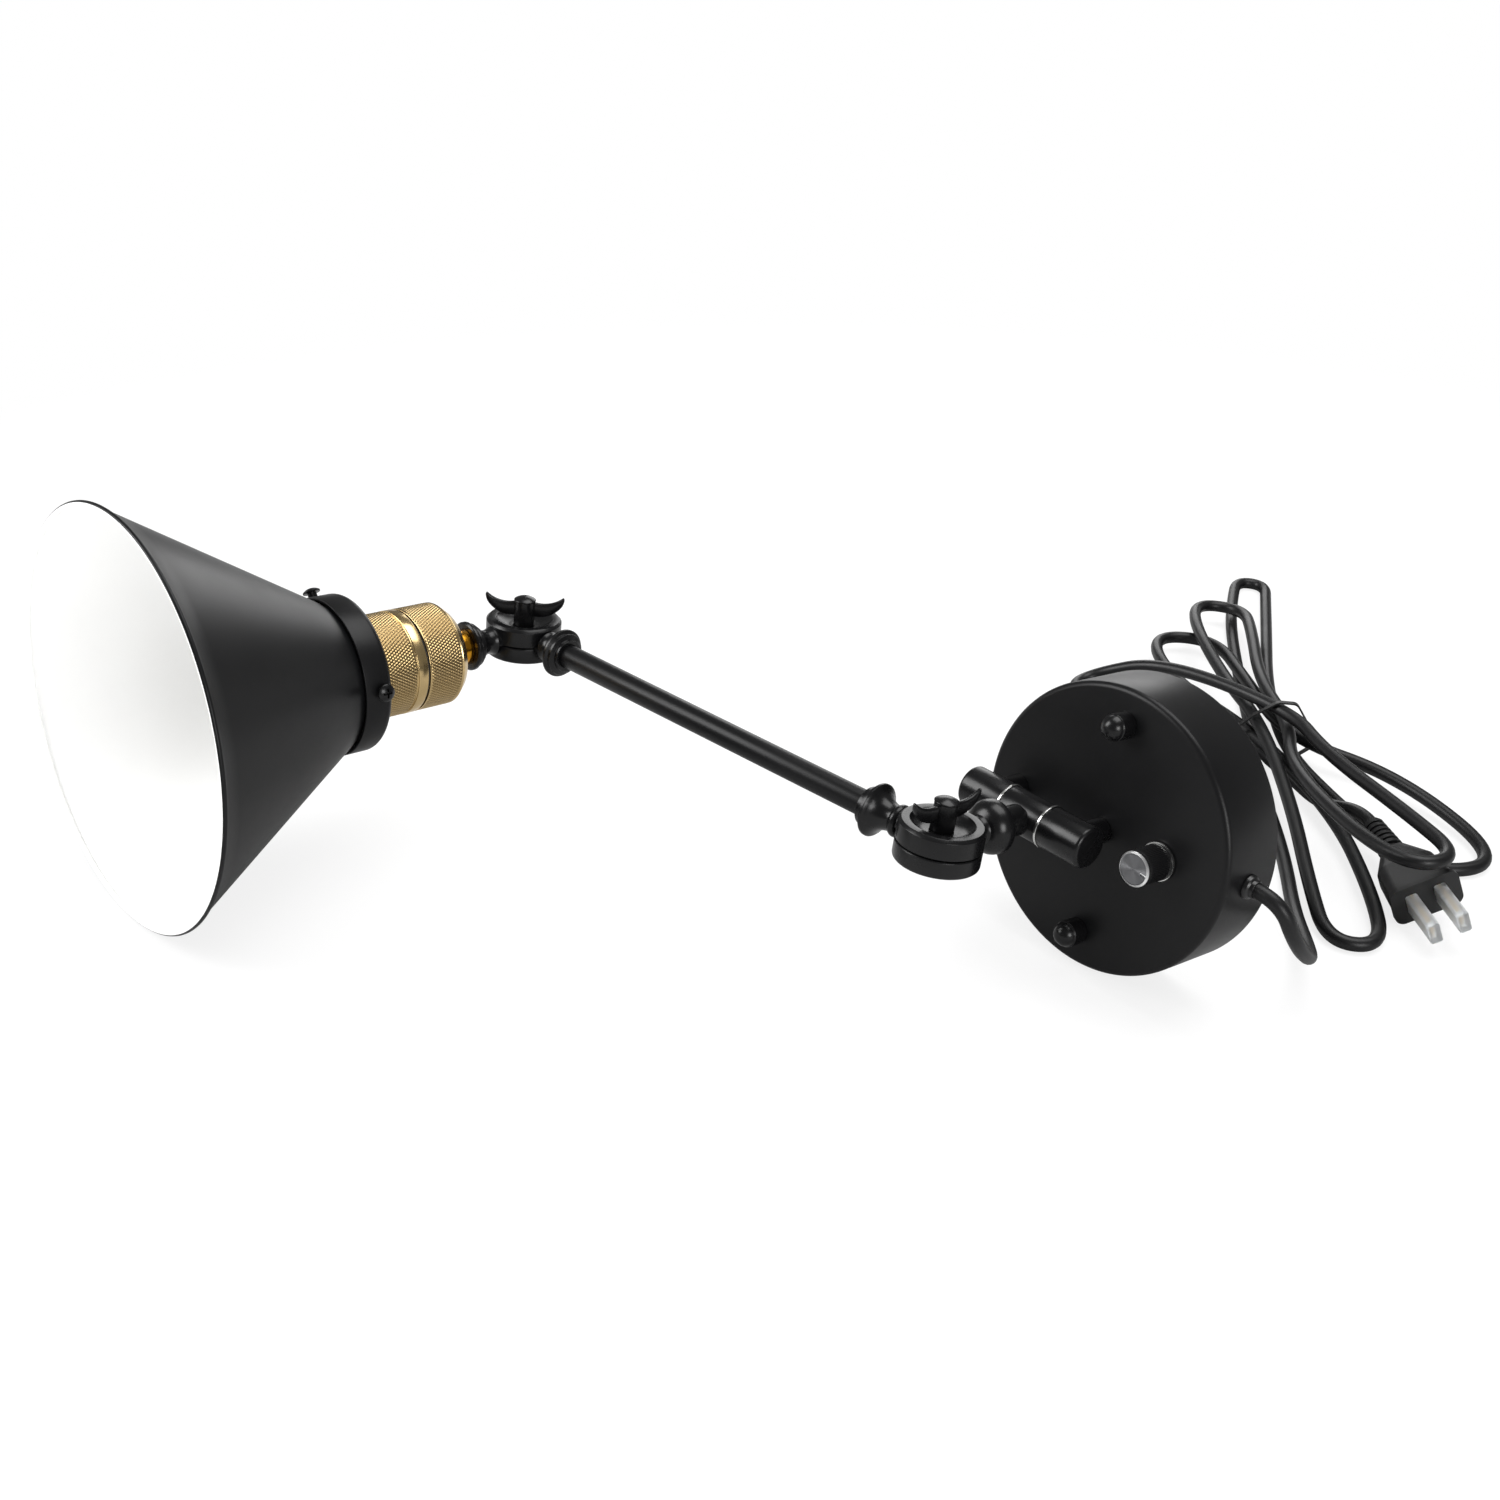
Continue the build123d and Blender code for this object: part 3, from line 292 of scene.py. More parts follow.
def spunMaterial():
    material, tree, shader = newMaterial("spunAluminium")
    place = addNode(tree, "ShaderNodeTexCoord").outputs["Object"]
    fromCentre = addNode(
        tree, "ShaderNodeVectorMath", settings={"operation": "SUBTRACT"},
        values={1: knobFrame.translation}, links={0: place},
    )
    along = addNode(
        tree, "ShaderNodeVectorMath", settings={"operation": "CROSS_PRODUCT"}, values={1: wallNormal},
        links={0: fromCentre.outputs[0]},
    )
    tangent = addNode(
        tree, "ShaderNodeVectorMath", settings={"operation": "NORMALIZE"}, links={0: along.outputs[0]}
    )
    grain = addNode(
        tree, "ShaderNodeTexNoise", values={"Scale": 1000 / knobFace["patch"], "Detail": 2.0},
        links={"Vector": place},
    )
    tint = addNode(
        tree, "ShaderNodeMix", settings={"data_type": "RGBA"},
        values={"A": linear(knobFace["colour"]), "B": linear(knobFace["second"])},
        links={"Factor": grain.outputs[0]},
    )
    away = addNode(
        tree, "ShaderNodeVectorMath", settings={"operation": "LENGTH"}, links={0: along.outputs[0]}
    )
    onRim = addNode(
        tree, "ShaderNodeMath", settings={"operation": "GREATER_THAN"},
        values={1: knobFace["rim"] / 1000}, links={0: away.outputs["Value"]},
    )
    pointing = (canopyFrame @ turnedBy(knobFace["lineTurn"], "Z")).to_3x3() @ Vector((1, 0, 0))
    ahead = addNode(
        tree, "ShaderNodeVectorMath", settings={"operation": "DOT_PRODUCT"}, values={1: pointing},
        links={0: fromCentre.outputs[0]},
    )
    aside = addNode(
        tree, "ShaderNodeVectorMath", settings={"operation": "DOT_PRODUCT"}, values={1: pointing},
        links={0: along.outputs[0]},
    )
    pastStart = addNode(
        tree, "ShaderNodeMath", settings={"operation": "GREATER_THAN"},
        values={1: knobFace["lineStart"] / 1000}, links={0: ahead.outputs["Value"]},
    )
    onLine = addNode(
        tree, "ShaderNodeMath", settings={"operation": "COMPARE"},
        values={1: 0.0, 2: knobFace["lineHalf"] / 1000}, links={0: aside.outputs["Value"]},
    )
    marked = addNode(
        tree, "ShaderNodeMath", settings={"operation": "MULTIPLY"},
        links={0: pastStart.outputs[0], 1: onLine.outputs[0]}
    )
    bright = addNode(
        tree, "ShaderNodeMath", settings={"operation": "MAXIMUM"},
        links={0: onRim.outputs[0], 1: marked.outputs[0]}
    )
    whole = addNode(
        tree, "ShaderNodeMix", settings={"data_type": "RGBA"}, values={"B": linear(knobFace["bright"])},
        links={"Factor": bright.outputs[0], "A": tint.outputs["Result"]},
    )
    tree.links.new(whole.outputs["Result"], shader.inputs["Base Color"])
    tree.links.new(tangent.outputs[0], shader.inputs["Tangent"])
    shader.inputs["Metallic"].default_value = 1.0
    shader.inputs["Roughness"].default_value = knobFace["rough"]
    shader.inputs["Anisotropic"].default_value = knobFace["spread"]
    return material


materials["spunAluminium"] = spunMaterial()
print("materials made,", len(materials))

# The table that the lamp lies on, and the cord by the same points and leaf loops as its solid
table = -59.41608412449422
cordLook = {
    "diameter": 6.4,
    "exitRun": [
        (63.978, -15.613, 3.875), (74.975, -15.573, 4.159), (81, -9, -14), (78, 11, -32), (60, 39, -47),
        (34, 69, None), (8, 99, None), (-20, 127, None), (-46, 150, None),
    ],
    "plugRun": [(-38, 167, None), (-13, 156.5, None), (10.222, 151.770, -45.969), (21, 144.5, -45.969)],
    "tie": (-60.0, 180.0),
    "tieHeading": 135.0,
    "tieRise": 1.2,
    "strandPitch": 7.2,
    "layerPitch": 7.4,
    "root": 0.62 * 6.4,
    "widest": 0.68,
    "tipShare": 0.75,
    "slots": [-2.1, 1, 1, -1, -1, 1, 1, -1],
    # heading, reach, spread, bow, first side, level out, level at the tip, level back, where it falls
    "loops": [
        (196.0, 108.0, 30.0, -6.0, 1, 0.0, 0.2, 3.0, 0.65),
        (-37.0, 146.0, 30.0, 23.0, 1, 3.0, 3.9, 2.0, 0.15),
        (150.0, 153.0, 30.0, -36.0, -1, 2.0, 1.0, 2.0, 0.7),
        (-36.0, 166.0, 28.0, -16.0, -1, 2.0, 0.0, 1.0, 0.2),
        (165.0, 117.0, 42.0, -32.0, 1, 1.0, 0.6, 1.0, 0.9),
        (15.0, 112.0, 44.0, -48.0, 1, 1.0, 0.0, 0.0, 0.3),
        (134.5, 212.0, 20.0, -20.0, -1, 0.0, 0.0, 0.0, 0.5),
    ],
}
strandFloor = table + cordLook["diameter"] / 2


def leafWidth(share):
    widest = cordLook["widest"]
    if share < widest:
        return (1 - cos(pi * share / widest)) / 2
    return 1 - (1 - cordLook["tipShare"]) * ((share - widest) / (1 - widest)) ** 2


def leafMarks(reach, spread):
    run = 1.7 * cordLook["tipShare"] * spread
    marks = [reach]
    while marks[-1] - run > max(0.16 * reach, 24.0):
        marks.append(marks[-1] - run)
        run = min(1.7 * run, 70.0)
    return marks


def hankLoop(heading, reach, spread, bow, side, levelOut, levelTip, levelBack, fallFrom):
    direction = Vector((cos(radians(heading)), sin(radians(heading)), 0))
    across = Vector((-direction.y, direction.x, 0))
    marks = leafMarks(reach, spread)
    strands = [(mark, side, levelOut) for mark in reversed(marks)]
    strands += [(mark, -side, levelBack) for mark in marks]
    points = []
    for mark, hand, level in strands:
        share = mark / reach
        offset = hand * (cordLook["root"] + (spread / 2 - cordLook["root"]) * leafWidth(share))
        ahead = mark - offset * 2 * bow * share / reach
        aside = offset + bow * share**2
        fallen = max(0, (share - fallFrom) / (1 - fallFrom))
        height = strandFloor + cordLook["layerPitch"] * (level + (levelTip - level) * fallen)
        points.append(Vector((*cordLook["tie"], height)) + direction * ahead + across * aside)
    return points


def tiePoint(slot, level):
    turn = radians(cordLook["tieHeading"] - 90)
    height = strandFloor + cordLook["layerPitch"] * level + cordLook["tieRise"]
    across = Vector((cos(turn), sin(turn), 0))
    return Vector((*cordLook["tie"], height)) + across * slot * cordLook["strandPitch"]


def cordPoints():
    points = [Vector((x, y, strandFloor if z is None else z)) for x, y, z in cordLook["exitRun"]]
    for slot, loop in zip(cordLook["slots"], cordLook["loops"]):
        points.append(tiePoint(slot, loop[5]))
        points += hankLoop(*loop)
    points.append(tiePoint(cordLook["slots"][-1], 0))
    points += [Vector((x, y, strandFloor if z is None else z)) for x, y, z in cordLook["plugRun"]]
    return [point / 1000 for point in points]


def makeCord():
    data = bpy.data.curves.new("powerCord", "CURVE")
    data.dimensions = "3D"
    data.bevel_depth = cordLook["diameter"] / 2000
    data.bevel_resolution = 6
    data.resolution_u = 14
    data.use_fill_caps = True
    points = cordPoints()
    spline = data.splines.new("NURBS")
    spline.points.add(len(points) - 1)
    for knot, point in zip(spline.points, points):
        knot.co = (*point, 1.0)
    spline.order_u = 3
    spline.use_endpoint_u = True
    data.materials.append(materials["vinylJacket"])
    cord = bpy.data.objects.new("powerCord", data)
    scene.collection.objects.link(cord)
    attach(cord, "base")
    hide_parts("cord_exit_run", "cord_hank", "cord_plug_run")
    return cord, points


powerCord, routePoints = makeCord()
print("cord made,", len(routePoints), "points")


# Profiles: corners as (radius, height), and arcs as ("arc", middle, end)
def arcThrough(start, middle, end, steps):
    ax, ay = start
    bx, by = middle
    cx, cy = end
    d = 2 * (ax * (by - cy) + bx * (cy - ay) + cx * (ay - by))
    aa = ax * ax + ay * ay
    bb = bx * bx + by * by
    cc = cx * cx + cy * cy
    ux = (aa * (by - cy) + bb * (cy - ay) + cc * (ay - by)) / d
    uy = (aa * (cx - bx) + bb * (ax - cx) + cc * (bx - ax)) / d
    radius = sqrt((ax - ux) ** 2 + (ay - uy) ** 2)
    first = atan2(ay - uy, ax - ux)
    between = (atan2(by - uy, bx - ux) - first) % (2 * pi)
    sweep = (atan2(cy - uy, cx - ux) - first) % (2 * pi)
    if between > sweep:
        sweep -= 2 * pi
    return [
        (ux + radius * cos(first + sweep * i / steps), uy + radius * sin(first + sweep * i / steps))
        for i in range(1, steps + 1)
    ]


def spreadArcs(profile, steps=10):
    points = []
    hard = []
    for item in profile:
        if item[0] == "arc":
            arc = arcThrough(points[-1], item[1], item[2], steps)
            points += arc
            hard += [False] * (steps - 1) + [True]
        else:
            points.append(item)
            hard.append(True)
    return points, hard


# Rounds each sharp corner of a closed profile, so that edges catch the light
def softened(profile, edge=0.3, special=(), steps=3):
    points, hard = spreadArcs(profile)
    count = len(points)
    result = []
    for i, point in enumerate(points):
        before = Vector(points[i - 1])
        here = Vector(point)
        after = Vector(points[(i + 1) % count])
        toBefore = before - here
        toAfter = after - here
        radius = edge
        for spot, size in special:
            if (Vector(spot) - here).length < 0.05:
                radius = size
        if not hard[i] or here.x < 1e-6 or toBefore.length < 1e-6 or toAfter.length < 1e-6:
            result.append(tuple(here))
            continue
        angle = toBefore.angle(toAfter)
        if angle > radians(160) or radius <= 0:
            result.append(tuple(here))
            continue
        cut = radius / tan(angle / 2)
        limit = 0.45 * min(toBefore.length, toAfter.length)
        if cut > limit:
            cut = limit
            radius = cut * tan(angle / 2)
        start = here + toBefore.normalized() * cut
        end = here + toAfter.normalized() * cut
        bisector = (toBefore.normalized() + toAfter.normalized()).normalized()
        middle = here + bisector * (radius / sin(angle / 2) - radius)
        many = steps if radius < 1.5 else 8
        result.append(tuple(start))
        result += arcThrough(tuple(start), tuple(middle), tuple(end), many)
    return result


# Turns a closed profile in millimetres about z. Rows give each ring of faces its material.
def turnInto(shape, profile, segments, place=None, rows=None):
    place = place or Matrix.Identity(4)
    rings = []
    for radius, height in profile:
        if radius < 1e-6:
            rings.append([shape.verts.new(place @ Vector((0, 0, height / 1000)))])
            continue
        ring = []
        for i in range(segments):
            turn = 2 * pi * i / segments
            ring.append(
                shape.verts.new(
                    place @ Vector((radius * cos(turn) / 1000, radius * sin(turn) / 1000, height / 1000))
                )
            )
        rings.append(ring)
    for index, ring in enumerate(rings):
        after = rings[(index + 1) % len(rings)]
        if len(ring) == 1 and len(after) == 1:
            continue
        for i in range(segments):
            j = (i + 1) % segments
            if len(ring) == 1:
                corners = (ring[0], after[j], after[i])
            elif len(after) == 1:
                corners = (ring[i], ring[j], after[0])
            else:
                corners = (ring[i], ring[j], after[j], after[i])
            face = shape.faces.new(corners)
            if rows:
                face.material_index = rows[index]


def finishMesh(name, shape, sharp=38):
    bmesh.ops.recalc_face_normals(shape, faces=shape.faces[:])
    mesh = bpy.data.meshes.new(name)
    shape.to_mesh(mesh)
    shape.free()
    for polygon in mesh.polygons:
        polygon.use_smooth = True
    mesh.set_sharp_from_angle(angle=radians(sharp))
    return mesh


def placePiece(name, mesh, place, body, stands, looks):
    mesh.transform(place)
    piece = bpy.data.objects.new(name, mesh)
    scene.collection.objects.link(piece)
    if not mesh.materials:
        for look in looks:
            mesh.materials.append(materials[look])
    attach(piece, body)
    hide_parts(*stands)


def turnedPiece(
    name, profiles, place, body, stands, look, segments=96, edge=0.3, special=(), sharp=38
):
    shape = bmesh.new()
    for profile, spot in profiles:
        turnInto(shape, softened(profile, edge, special), segments, spot)
    placePiece(name, finishMesh(name, shape, sharp), place, body, stands, [look])


# Canopy: a spun pan with a round shoulder, open at the back
canopyLook = {"radius": 60.0, "depth": 32.0, "wall": 1.0, "shoulder": 2.5, "segments": 224}


def makeCanopy():
    radius = canopyLook["radius"]
    inner = radius - canopyLook["wall"]
    depth = canopyLook["depth"]
    floor = depth - canopyLook["wall"]
    profile = [(0, depth), (radius, depth), (radius, 0), (inner, 0), (inner, floor), (0, floor)]
    special = [((radius, depth), canopyLook["shoulder"]), ((inner, floor), canopyLook["shoulder"] - 1)]
    turnedPiece(
        "canopyPan", [(profile, None)], canopyFrame, "base", ["canopy_pan"],
        "satinBlackPowderCoat", canopyLook["segments"], 0.3, special,
    )


makeCanopy()

# Domed cap nuts on the canopy's face
capNutLook = {"radius": 5.5, "collar": 8.0, "dome": 4.3, "spacing": 91.3}


def domeMiddle(radius, low, high):
    rise = high - low
    ball = (radius**2 + rise**2) / (2 * rise)
    half = asin(radius / ball) / 2 if rise < radius else (pi - asin(radius / ball)) / 2
    return (ball * sin(half), high - ball + ball * cos(half))


def makeCapNuts():
    radius = capNutLook["radius"]
    shoulder = radius - 0.4
    collar = capNutLook["collar"]
    crown = collar + capNutLook["dome"]
    profile = [(0, 0), (radius, 0), (radius, collar - 0.4), (shoulder, collar)]
    profile += [("arc", domeMiddle(shoulder, collar, crown), (0, crown))]
    spots = [shifted(0, side * capNutLook["spacing"] / 2, canopyLook["depth"]) for side in (-1, 1)]
    turnedPiece(
        "capNuts", [(profile, spot) for spot in spots], canopyFrame, "base", ["cap_nuts"],
        "semiGlossBlackPaint", 64,
    )


makeCapNuts()

# Fork and barrel
barrelLook = {
    "radius": 8.8, "half": 31.8, "edge": 1.6, "centre": 10.1, "gap": 0.1, "washer": 1.0,
    "washerProud": 0.4,
    "pinBore": 4.05, "pinEnd": 26.05, "postSpacing": 44.0, "postRadius": 5.4, "postBore": 3.2,
    "standOff": 18.5, "postShort": 5.0, "stubStart": 7.6,
    "stubRadius": 6.4, "stubReach": 52.3, "mushroomEnd": 31.2,
}


def makeBarrel():
    look = barrelLook
    start = look["centre"] + look["gap"] + look["washer"]
    for side, name in ((-1, "left"), (1, "right")):
        profile = [
            (look["pinBore"], start), (look["radius"], start), (look["radius"], look["half"]),
            (0, look["half"])
        ]
        profile += [(0, look["pinEnd"]), (look["pinBore"], look["pinEnd"])]
        special = [((look["radius"], look["half"]), look["edge"])]
        place = barrelFrame @ turnedBy(side * 90, "Y")
        turnedPiece(
            "barrelEnd" + name.title(), [(profile, None)], place, "base",
            ["barrel_end_" + name], "semiGlossBlackPaint", 96, 0.25, special,
        )
        tall = look["standOff"] - look["postShort"]
        postAcross = canopyPlaces["barrel"][0] + side * look["postSpacing"] / 2
        post = [
            (look["postBore"], 0), (look["postRadius"], 0), (look["postRadius"], tall),
            (look["postBore"], tall)
        ]
        turnedPiece(
            "forkPost" + name.title(), [(post, None)],
            canopyFrame @ shifted(postAcross, 0, canopyLook["depth"]),
            "base", ["fork_post_" + name], "semiGlossBlackPaint", 64, 0.2,
        )
    washerStart = look["centre"] + look["gap"]
    outer = look["radius"] + look["washerProud"]
    washer = [
        (look["pinBore"], washerStart), (outer, washerStart), (outer, start), (look["pinBore"], start)
    ]
    turnedPiece(
        "ringWashers", [(washer, turnedBy(90, "Y")), (washer, turnedBy(-90, "Y"))], barrelFrame, "base",
        ["ring_washers"], "machinedSteel", 96, 0.2,
    )
    centre = look["centre"]
    middle = [
        (look["pinBore"], -centre), (look["radius"], -centre), (look["radius"], centre),
        (look["pinBore"], centre)
    ]
    stubEnd = look["stubReach"] - look["mushroomEnd"]
    stub = [(0, look["stubStart"]), (look["stubRadius"], look["stubStart"])]
    stub += [(look["stubRadius"], stubEnd), (0, stubEnd)]
    turnedPiece(
        "swivelCentre", [(middle, sideways), (stub, None)], barrelFrame, "swivel",
        ["swivel_centre"], "semiGlossBlackPaint", 96, 0.25,
    )


makeBarrel()
print("canopy and barrel made")

# Knuckles: two stacked discs with turned necks, and a thumb screw through both
knuckleLook = {
    "radius": 17.2, "top": 8.2, "bottom": 8.2, "seam": -0.6, "seamGap": 0.5, "bore": 2.7, "dish": 12.9,
    "dishDepth": 3.2, "dishFloor": 6.5, "dishStep": 0.6, "throat": 5.6, "flange": 11.1, "root": 14.2,
    "joint": 17.7, "mushroomEnd": 31.2, "bellEnd": 36.0, "armEnd": 31.6, "headEnd": 32.0, "tube": 5.45,
    "nutPocket": 4.05, "footRound": 1.2, "tubeSeat": 5.0,
}


def upperDisc():
    k = knuckleLook
    seam = k["seam"] + k["seamGap"] / 2
    low = k["top"] - k["dishDepth"]
    rim = k["dish"]
    bowl = (k["dishFloor"] + (rim - k["dishFloor"]) * 0.42, low + (k["dishDepth"] - k["dishStep"]) * 0.22)
    profile = [(k["bore"], low), (k["bore"], seam), (k["radius"] - 0.4, seam), (k["radius"], seam + 0.4)]
    profile += [(k["radius"], k["top"] - 1.2), (k["radius"] - 1.2, k["top"]), (rim, k["top"])]
    profile += [(rim - 0.5, k["top"] - k["dishStep"]), ("arc", bowl, (k["dishFloor"], low))]
    return profile


def lowerDisc():
    k = knuckleLook
    seam = k["seam"] - k["seamGap"] / 2
    bottom = -k["bottom"]
    profile = [
        (k["bore"], seam), (k["radius"] - 0.4, seam), (k["radius"], seam - 0.4), (k["radius"], bottom)
    ]
    profile += [
        (k["radius"] - 3.2, bottom), (k["radius"] - 3.8, bottom + 0.6),
        (k["nutPocket"] + 0.4, bottom + 0.6)
    ]
    profile += [(k["nutPocket"] + 0.4, bottom + 4.0), (k["bore"], bottom + 4.0)]
    return profile


necks = {}


def makeNeckProfiles():
    k = knuckleLook
    throat = k["throat"]
    flange = k["flange"]
    root = k["joint"]
    end = k["mushroomEnd"]
    necks["mushroom"] = [
        (0, root), (throat + 0.5, root), ("arc", (throat - 0.1, 20.0), (throat + 0.6, 22.4)),
        ("arc", (flange - 1.3, 25.2), (flange, end - 1.2)), (flange, end), (0, end),
    ]
    end = k["bellEnd"]
    necks["bell"] = [
        (0, root), (throat, root), ("arc", (throat + 1.2, 19.7), (throat, 21.6)),
        ("arc", (throat + 1.1, 26.4), (flange - 0.5, 30.3)), (flange, 30.8), (flange, 31.8),
        (flange - 1.4, 32.4),
        (flange - 1.4, 33.2), (flange - 3.1, 33.8), (flange - 3.1, end), (k["tube"], end),
        (k["tube"], end - k["tubeSeat"]), (0, end - k["tubeSeat"]),
    ]
    end = k["armEnd"]
    necks["ringed"] = [
        (0, root), (throat + 1.4, root), ("arc", (throat + 0.5, 21.6), (flange - 0.6, 25.8)),
        (flange, 26.3), (flange, 27.4), (flange - 1.5, 28.0), (flange - 1.5, 29.4), (flange - 3.8, 29.9),
        (flange - 3.8, end), (k["tube"], end), (k["tube"], end - k["tubeSeat"]), (0, end - k["tubeSeat"]),
    ]
    end = k["headEnd"]
    necks["head"] = [
        (0, root), (throat + 0.9, root), ("arc", (throat, 20.4), (throat + 2.2, 25.4)),
        (throat + 2.9, 26.0),
        (throat + 2.9, 26.8), (flange - 1.2, 27.6), (flange - 1.2, 28.8), (flange - 1.7, 29.2),
        (flange, 29.9), (flange, 31.2), (flange - 0.8, end), (0, end),
    ]


makeNeckProfiles()


# The neck's foot lies only on its own half's side of the seam
def neckFoot(shape, radius, place, above):
    k = knuckleLook
    foot = bmesh.new()
    turnInto(
        foot, [(0, k["root"]), (radius, k["root"]), (radius, k["joint"] + 0.02), (0, k["joint"] + 0.02)],
        96
    )
    seam = (k["seam"] + (k["seamGap"] / 2 if above else -k["seamGap"] / 2)) / 1000
    everything = foot.verts[:] + foot.edges[:] + foot.faces[:]
    cut = bmesh.ops.bisect_plane(
        foot, geom=everything, plane_co=(0, seam, 0), plane_no=(0, 1, 0), clear_inner=above,
        clear_outer=not above
    )
    rim = [item for item in cut["geom_cut"] if isinstance(item, bmesh.types.BMEdge)]
    bmesh.ops.edgeloop_fill(foot, edges=rim)
    foot.transform(place)
    mesh = bpy.data.meshes.new("neckFoot")
    foot.to_mesh(mesh)
    foot.free()
    shape.from_mesh(mesh)
    bpy.data.meshes.remove(mesh)


def makeKnuckleHalf(name, neck, footRadius, back, above, place, body, node):
    shape = bmesh.new()
    turn = turnedBy(180, "X") if back else Matrix.Identity(4)
    corner = (knuckleLook["radius"], -knuckleLook["bottom"])
    disc = upperDisc() if above else lowerDisc()
    turnInto(shape, softened(disc, 0.25, [(corner, knuckleLook["footRound"])]), 128, upright)
    turnInto(shape, softened(necks[neck], 0.2), 96, turn)
    neckFoot(shape, footRadius, turn, above != back)
    placePiece(
        name, finishMesh(name, shape, 34), place, body, [node], ["semiGlossBlackPaint"]
    )


throat = knuckleLook["throat"]
makeKnuckleHalf(
    "knuckleOneLower", "mushroom", throat + 0.5, True, False, stubFrame, "swivel", "knuckle_1_lower"
)
makeKnuckleHalf("knuckleOneUpper", "bell", throat, False, True, armFrame, "arm", "knuckle_1_upper")
makeKnuckleHalf(
    "knuckleTwoLower", "ringed", throat + 1.4, True, False, armEndFrame, "arm", "knuckle_2_lower"
)
makeKnuckleHalf(
    "knuckleTwoUpper", "head", throat + 0.9, False, True, headFrame, "head", "knuckle_2_upper"
)

# Thumb screws with two horns
wingLook = {
    "hub": 4.8, "hubTop": 16.4, "dome": 5.1, "domeTop": 18.6, "shank": 2.4, "seat": 5.0, "low": -7.2,
    "span": 36.0,
    "tipHeight": 19.5, "tipThick": 2.9, "thick": 2.6, "rootIn": 1.5, "rootDeep": 7.0, "bellyDeep": 5.6,
    "flat": 0.62, "stations": 26, "around": 20,
}


def heightAt(arc, x):
    for (x0, z0), (x1, z1) in zip(arc, arc[1:]):
        if x0 <= x <= x1:
            return z0 + (z1 - z0) * (x - x0) / max(x1 - x0, 1e-9)
    return arc[-1][1]


def wingInto(shape, side):
    w = wingLook
    tip = w["span"] / 2
    root = w["hub"] - w["rootIn"]
    top = w["hubTop"]
    low = (tip, w["tipHeight"] - w["tipThick"])
    under = (root, top - w["rootDeep"])
    lower = [under] + arcThrough(under, (tip * 0.7, top - w["bellyDeep"]), low, 60)
    over = (root, top)
    upper = [over] + arcThrough(over, (tip * 0.6, top - 0.5), (tip - 0.4, w["tipHeight"]), 60)
    rings = []
    for i in range(w["stations"]):
        share = i / (w["stations"] - 1)
        x = root + (tip - root) * (1 - (1 - share) ** 1.6)
        low = heightAt(lower, x)
        high = heightAt(upper, x)
        middle = (low + high) / 2
        close = sqrt(max(0.02, 1 - max(0, (x - tip + 1.0) / 1.02) ** 2))
        half = (high - low) / 2 * close
        thick = w["thick"] / 2 * (1 - 0.35 * share**2) * close
        ring = []
        for j in range(w["around"]):
            turn = 2 * pi * j / w["around"]
            dz = half * copysign(abs(sin(turn)) ** w["flat"], sin(turn))
            dy = thick * copysign(abs(cos(turn)) ** w["flat"], cos(turn))
            ring.append(shape.verts.new((side * x / 1000, dy / 1000, (middle + dz) / 1000)))
        rings.append(ring)
    for ring, after in zip(rings, rings[1:]):
        for j in range(w["around"]):
            k = (j + 1) % w["around"]
            shape.faces.new((ring[j], ring[k], after[k], after[j]))
    shape.faces.new(rings[0])
    shape.faces.new(rings[-1])


def makeWingScrew(name, turn, place, body, node):
    w = wingLook
    shape = bmesh.new()
    profile = [(0, w["low"]), (w["shank"], w["low"]), (w["shank"], w["seat"]), (w["hub"], w["seat"])]
    profile += [(w["hub"], w["hubTop"]), (w["dome"], w["hubTop"] + 0.5)]
    profile += [("arc", domeMiddle(w["dome"], w["hubTop"] + 0.5, w["domeTop"]), (0, w["domeTop"]))]
    turnInto(shape, softened(profile, 0.3), 64)
    wingInto(shape, 1)
    wingInto(shape, -1)
    spot = place @ turnedBy(turn - 90, "Y") @ upright
    placePiece(
        name, finishMesh(name, shape, 50), spot, body, [node], ["semiGlossBlackPaint"]
    )


makeWingScrew("wingScrewOne", 82.0, armFrame, "wing_1", "wing_screw_1")
makeWingScrew("wingScrewTwo", 139.0, headFrame, "wing_2", "wing_screw_2")

# Arm tube between the knuckles
armLook = {"radius": 5.4, "wall": 1.0, "start": 30.0, "end": 219.2}


def makeArm():
    outer = armLook["radius"]
    inner = outer - armLook["wall"]
    profile = [
        (inner, armLook["start"]), (outer, armLook["start"]), (outer, armLook["end"]),
        (inner, armLook["end"])
    ]
    turnedPiece(
        "armTube", [(profile, None)], armFrame, "arm", ["arm_tube"],
        "satinBlackPowderCoat", 96, 0.2
    )


makeArm()
print("knuckles and arm made")

# Lamp head: nipple, knurled cap and shell, collar and shade
socketLook = {
    "radius": 22.9, "wall": 1.0, "capRear": 43.6, "capFront": 64.8, "shoulder": 4.0, "shoulderDrop": 3.4,
    "gasket": 1.0, "band": 4.8, "groove": 0.6, "collarRear": 90.3, "lip": 19.1, "nippleRadius": 8.15,
    "nippleStart": 32.0,
    "knurlCount": 100, "knurlDepth": 0.42, "knurlLength": 2.4, "rowsPerKnurl": 8, "segmentsPerKnurl": 8,
}


